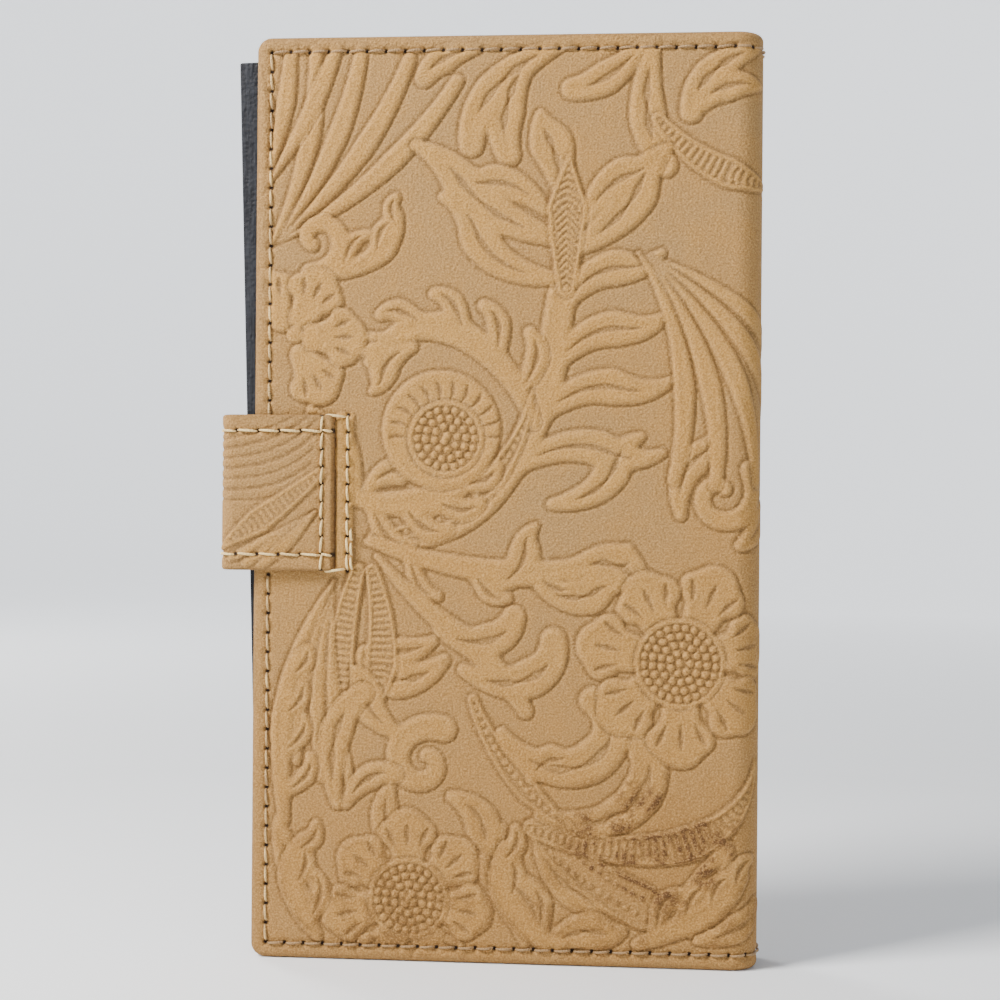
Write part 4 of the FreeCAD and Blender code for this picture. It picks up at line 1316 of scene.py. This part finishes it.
def strap_sheets():
    """Outer leather of the strap, split at the middle of the bridge."""
    z_range = (STRAP_LOW_Z, STRAP_HIGH_Z)
    for name, part, nodes in STRAP_PARTS:
        u_range, corner, ends = strap_half(STRAP, HALF_STRAP, part, 1.2)
        sheet = Sheet(STRAP, u_range, z_range, STRAP_LEATHER, STRAP_STEP, corner, ends, 1.0)
        tool_strap(Tooling(sheet))
        sheet.relief *= 0.8 * smoothstep(0.1, 1.0, np.abs(sheet.u - HALF_STRAP))
        if part:
            flatten_for_snap(sheet, STRAP.length - (TAB_END - SNAP[0]), 6.4, 7.6)
        else:
            sheet.relief *= smoothstep(0.4, 1.6, sheet.u)
        shade_relief(sheet)
        press_rows(sheet, tab_rows() if part else root_rows())
        patina_and_shade_map(sheet, [])
        obj = sheet.build(name + "_sheet", None if part else dive)
        dress(obj, "strap_leather", *[node + "_leather" for node in nodes])
        strap_blend(obj, part)


def strap_linings():
    """Thin lining leather on the inner side of the strap."""
    path, split = strap_path(SLIT_X - 1.6, STRAP_LEATHER)
    depth = STRAP_THICKNESS - STRAP_LEATHER
    z_range = (STRAP_LOW_Z + 0.15, STRAP_HIGH_Z - 0.15)
    for name, part, nodes in STRAP_PARTS:
        u_range, corner, ends = strap_half(path, split, part, 1.0)
        sheet = Sheet(path, u_range, z_range, depth, 0.8, corner, ends, 0.3)
        obj = sheet.build(name + "_lining_sheet")
        thicken(obj, depth * 0.95)
        dress(obj, "lining_leather", *[node + "_lining" for node in nodes])
        strap_blend(obj, part)


def strap_thread():
    """Long slanted stitches along the strap and round the tab."""
    for name, part, nodes in STRAP_PARTS:
        spans = row_spans(tab_rows() if part else root_rows(), STRAP_STITCH_SHARE)
        spans += corner_spans() if part else []
        obj = thread_object(name + "_thread", sheet_stitches(STRAP, spans, 0.16))
        replaced = [node + "_stitches" for node in nodes]
        dress(obj, "thread", *replaced, material="strap_thread")
        strap_blend(obj, part)


def anchor_thread():
    """The box stitch's side through the tongue, its two legs and the doubled end."""
    right, left = BOX_RIGHT_X - LEFT, BOX_LEFT_X - LEFT
    low, high = STRAP_LOW_Z, STRAP_HIGH_Z
    on_tongue = [
        ((right, low), (right, high), BOX_PITCH),
        ((right + 0.9, low), (right + 0.8, low + 9), BOX_PITCH),
    ]
    over_edge = [
        ((left + 0.2, high + 0.2), (right, high - 0.6), BOX_PITCH),
        ((left + 0.2, low - 0.2), (right, low + 0.4), BOX_PITCH),
    ]
    stitches = []
    for rows, lift in ((on_tongue, 1.2), (over_edge, 1.6)):
        stitches += sheet_stitches(COVER, row_spans(rows, STRAP_STITCH_SHARE), 0.1, lift, 0.2)
    obj = thread_object("strap_box_thread", stitches)
    dress(obj, "thread", "strap_box_stitches", material="strap_thread")
    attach(obj, "back")


# ---- Inside: lining, pockets, notebook ----

def linings():
    """One lining per cover half, meeting in the middle of the spine."""
    inset = LINING_LOW[0] - LEFT
    inner_right = node_box("spine_lining")[1][0]
    flat = inner_right - LINING_LOW[0] - LINING_ROUND
    start = (LINING_LOW[0], BACK + PANEL)
    path = folded_path(start, flat, FRONT - BACK - 2 * PANEL, LINING_ROUND)
    middle = path.length / 2
    replaced = {-1: ("back_lining", "spine_lining"), 1: ("front_lining",)}
    for name, side in (("back", -1), ("front", 1)):
        u_range = (0, middle) if side < 0 else (middle, path.length)
        ends = (side < 0, side > 0)
        z_range = (inset, HEIGHT - inset)
        sheet = Sheet(path, u_range, z_range, LINING, 1.2, SHEET_CORNER, ends, 0.3)
        obj = sheet.build(name + "_lining_sheet")
        thicken(obj, LINING)
        dress(obj, "lining_leather", *replaced[side])
        spine_blend(obj, side)


def card_pockets():
    """Three stepped pockets on the front half, each with a scooped, creased mouth."""
    scoop, scoop_height = 0.9, 14
    crease, crease_below_mouth = 0.16, 2.2
    for name in ("card_pocket_high", "card_pocket_middle", "card_pocket_low"):
        low, high = node_box(name)
        across, up = np.linspace(low[0], high[0], 60), np.linspace(low[2], high[2], 60)
        x, z = np.meshgrid(across, up, indexing="ij")
        off_middle = (x - (low[0] + high[0]) / 2) / (high[0] - low[0]) * 2
        mouth = smoothstep(high[2] - scoop_height, high[2], z)
        scooped = z - scoop * mouth * (1 - np.abs(off_middle) ** 2.2)
        y = low[1] + crease * dip(z - high[2] + crease_below_mouth, 0.35) + 0 * x
        obj = grid_object(name + "_sheet", x, y, scooped)
        vector_attribute(obj, "sheet", np.stack([x, scooped, y], -1) * MM)
        thicken(obj, (high[1] - low[1]) * 0.8)
        rounded = obj.modifiers.new("edges", "BEVEL")
        rounded.width = 0.12 * MM
        rounded.segments = 2
        dress(obj, "pocket_leather", name)
        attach(obj, "front")


def pocket_thread():
    """The two upright rows that close the sides of the lowest pocket."""
    low, high = node_box("card_pocket_stitches")
    stitches = []
    for x in (low[0] + POCKET_THREAD, high[0] - POCKET_THREAD):
        face = Path((x, high[1]), 0, -1, [(1.0, 0)])
        spans = row_spans([((0, low[2]), (0, high[2]), STITCH_PITCH)])
        stitches += sheet_stitches(face, spans, 0.0, -0.02, 0.2)
    obj = thread_object("card_pocket_thread", stitches, POCKET_THREAD)
    dress(obj, "thread", "card_pocket_stitches")
    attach(obj, "front")


BOOK_JOINT = next(joint for joint in frame["joints"] if joint["name"] == "notebook_fold")
BOOK_FOLD = np.array(BOOK_JOINT["pos_m"]) / MM
BOOK_LEAN = math.atan2(abs(BOOK_JOINT["axis"][0]), abs(BOOK_JOINT["axis"][2]))


def lean(points):
    """Lean upright notebook points about the middle of the fold, as the frame has them."""
    c, s = math.cos(BOOK_LEAN), math.sin(BOOK_LEAN)
    x, y, z = (points - BOOK_FOLD).T
    return np.column_stack([x * c - z * s, y, x * s + z * c]) + BOOK_FOLD


def notebook_cover():
    """One flexible cover sheet that wraps round the notebook's rounded back."""
    x_fold, y_fold, z_middle = BOOK_FOLD
    flat = BOOK_WIDTH - BOOK_CORNER + BOOK_BULGE
    start = (x_fold - BOOK_WIDTH, y_fold - BOOK_HALF)
    path = folded_path(start, flat, 2 * BOOK_HALF, BOOK_CORNER)
    z_range = (z_middle - BOOK_HEIGHT / 2, z_middle + BOOK_HEIGHT / 2)
    sheet = Sheet(path, (0, path.length), z_range, BOOK_COVER, 1.1, 0.4, (True, True), 0.3)
    obj = sheet.build("notebook_cover_sheet", lambda u, z, points: lean(points))
    thicken(obj, BOOK_COVER * 0.95)
    dress(obj, "notebook_cover", "notebook_back_cover", "notebook_front_cover")
    blend_across(obj)


def leaf_of_paper(level, side):
    """Corner points of one leaf that curls down into the fold, and its faces."""
    x_fold, y_fold, z_middle = BOOK_FOLD
    shift = RNG.uniform(-LEAF_WOBBLE, LEAF_WOBBLE, 3)
    flat = np.linspace(LEAF_INSET + shift[0] - BOOK_WIDTH, -9, 6)
    x = np.concatenate([flat, np.linspace(-8.4, -LEAF_GAP_AT_FOLD, 12)])
    above_cover = max(0.0, level + 2.3)
    fall = smoothstep(-7.0, 0.0, x) ** 1.4 * above_cover * 0.62
    low, high = level - fall - LEAF / 2, level - fall + LEAF / 2
    half = BOOK_HEIGHT / 2 - LEAF_INSET
    section = [(low, -half), (low, half), (high, half), (high, -half)]
    rails = [
        np.column_stack([x + x_fold, y_fold - side * rail, 0 * x + z_middle + z + shift[1]])
        for rail, z in section
    ]
    index = np.arange(4 * len(x)).reshape(4, len(x))
    tube = grid_quads(np.vstack([index, index[:1]]))
    caps = np.array([index[:, 0], index[::-1, -1]])
    return np.concatenate(rails), np.concatenate([tube, caps])


def page_block(name, side, body, node):
    """Half of the notebook's leaves, as separate thin sheets."""
    outer = BOOK_HALF - BOOK_COVER - 0.02
    levels = -outer + (np.arange(LEAVES) + 0.5) * (outer - 0.08) / LEAVES
    points, faces = zip(*[leaf_of_paper(level, side) for level in levels])
    faces = np.concatenate([part + k * len(points[0]) for k, part in enumerate(faces)])
    if side > 0:
        faces = faces[:, ::-1]
    obj = mesh_object(name, lean(np.concatenate(points)), faces, smooth=False)
    dress(obj, "paper", node)
    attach(obj, body)


def notebook_cord():
    """Elastic cord down the notebook's fold, bent into the cover at both ends."""
    x_fold, y_fold, z_middle = BOOK_FOLD
    half = BOOK_HEIGHT / 2 + CORD_CLEARANCE
    turn = np.linspace(0, math.pi / 2, 7)
    corner_y = y_fold - CORD_BEND + CORD_BEND * np.sin(turn)
    corner_z = half - CORD_BEND + CORD_BEND * np.cos(turn)
    upper = np.vstack([[(LINING_HIGH[1], half)], np.column_stack([corner_y, corner_z])])
    lower = upper[::-1] * (1, -1)
    run = np.column_stack([np.full(40, y_fold), np.linspace(upper[-1, 1], lower[0, 1], 42)[1:-1]])
    line = np.vstack([upper, run, lower])
    centres = np.column_stack([np.full(len(line), x_fold - CORD_FROM_FOLD), line])
    centres[:, 2] += z_middle
    around = rings(lean(centres), np.full(len(centres), CORD))[0]
    obj = mesh_object("notebook_cord_tube", around, tube_faces(len(centres)))
    dress(obj, "elastic", "notebook_cord")
    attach(obj, "back")


def finish_cad_nodes():
    """Metal, boards and wire keep their CAD shape and get their materials."""
    slots = {row["node"]: row["material_slot"] for row in frame["record"]["subparts"]}
    for node, obj in frame["nodes"].items():
        obj.data.materials.clear()
        obj.data.materials.append(MATERIALS[slots[node]])


def snap_cap():
    """Pressed cap with a rolled rim and a shallow ring on its dome."""
    radius = (CAP_HIGH[0] - CAP_LOW[0]) / 2
    height = CAP_HIGH[1] - TAB_HIGH[1]
    dome_radius = 0.93 * radius
    rim_height = 0.38 * height
    share = np.linspace(0.002, 1, 26)
    fall = (height - rim_height) * share**2.2
    ring = 0.14 * dip(share - 0.62, 0.045)
    dome = np.column_stack([dome_radius * share, height - fall - ring])
    turn = np.linspace(0.1, math.pi / 2, 8)
    rim_radius = dome_radius + (radius - dome_radius) * np.sin(turn)
    rim = np.column_stack([rim_radius, rim_height * np.maximum(np.cos(turn), 0) ** 0.8])
    under = np.array([(radius * 0.97, -0.05), (1.0, -0.05)])
    x, z, y = turned(np.concatenate([dome, rim, under]), 72)
    places = SNAP[0] + x, TAB_HIGH[1] + y, SNAP[2] + z
    obj = grid_object("snap_cap_turned", *places, ring_quads)
    dress(obj, "snap_metal", "snap_cap")
    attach(obj, "strap_tab")


# ---- Floor, lights and camera ----

def facing_in(index):
    """Ring faces that show their front to the object."""
    return ring_quads(index)[:, ::-1]


def backdrop():
    """A pale round floor and a wall that rises from it without an edge.

    The wall throws no shadow, so the sky lights the object evenly from all round.
    """
    turn = np.linspace(0, math.pi / 2, 14)
    rise = np.column_stack(
        [FLOOR_REACH + WALL_BEND * np.sin(turn), WALL_BEND * (1 - np.cos(turn))]
    )
    flat = np.array([(0.5, 0), (700, 0), (FLOOR_REACH, 0)])
    upright = np.vstack([rise, [(FLOOR_REACH + WALL_BEND, WALL_TOP)]])
    floor = grid_object("floor", *turned(flat, 96), facing_in)
    wall = grid_object("wall", *turned(upright, 96), facing_in)
    wall.visible_shadow = False
    wall.visible_diffuse = False
    paint = backdrop_paint()
    for obj in (floor, wall):
        obj.data.materials.append(paint)


def area_light(name, place, size, power, colour):
    data = bpy.data.lights.new(name, "AREA")
    data.size = size * MM
    data.energy = power
    data.color = colour
    light = bpy.data.objects.new(name, data)
    light.location = Vector(place) * MM
    aim = Vector((0, 7 * MM, HEIGHT / 2 * MM)) - light.location
    light.rotation_euler = aim.to_track_quat("-Z", "Y").to_euler()
    bpy.context.scene.collection.objects.link(light)


def lights():
    """A soft key light from the upper left, a weak fill, one from behind, and the sky."""
    area_light("key", (-420, -300, 560), 240, 10.6, (1.0, 0.97, 0.93))
    area_light("fill", (560, -700, 160), 600, 2.2, (0.93, 0.96, 1.0))
    area_light("behind_key", (-700, 760, 620), 300, 7.0, (1.0, 0.98, 0.95))
    world = bpy.data.worlds.new("studio")
    world.use_nodes = True
    sky = world.node_tree.nodes["Background"]
    sky.inputs["Color"].default_value = (0.84, 0.89, 0.95, 1)
    sky.inputs["Strength"].default_value = 0.41
    bpy.context.scene.world = world


def camera():
    """Straight at the back panel, a little round towards the spine, as photographed."""
    distance = 400.0
    width_at_panel = 204.0
    azimuth = math.radians(5.5)
    roll = math.radians(0.45)
    target = np.array([-0.8, BACK, 94.8])
    away = np.array([math.sin(azimuth), -math.cos(azimuth), 0.0])
    data = bpy.data.cameras.new("camera")
    data.sensor_width = 36.0
    data.lens = 36.0 * distance / width_at_panel
    data.clip_start = 0.01
    obj = bpy.data.objects.new("camera", data)
    obj.location = Vector(target + away * distance) * MM
    turn = (-Vector(away)).to_track_quat("-Z", "Y") @ Quaternion((0, 0, 1), roll)
    obj.rotation_euler = turn.to_euler()
    bpy.context.scene.collection.objects.link(obj)
    bpy.context.scene.camera = obj


finish_cad_nodes()
back_half()
front_half()
cover_thread()
strap_sheets()
strap_linings()
strap_thread()
anchor_thread()
linings()
card_pockets()
notebook_cover()
page_block("notebook_pages_back_leaves", 1, "back", "notebook_pages_back")
page_block("notebook_pages_front_leaves", -1, "notebook_front", "notebook_pages_front")
snap_cap()
notebook_cord()
pocket_thread()
backdrop()
lights()
camera()
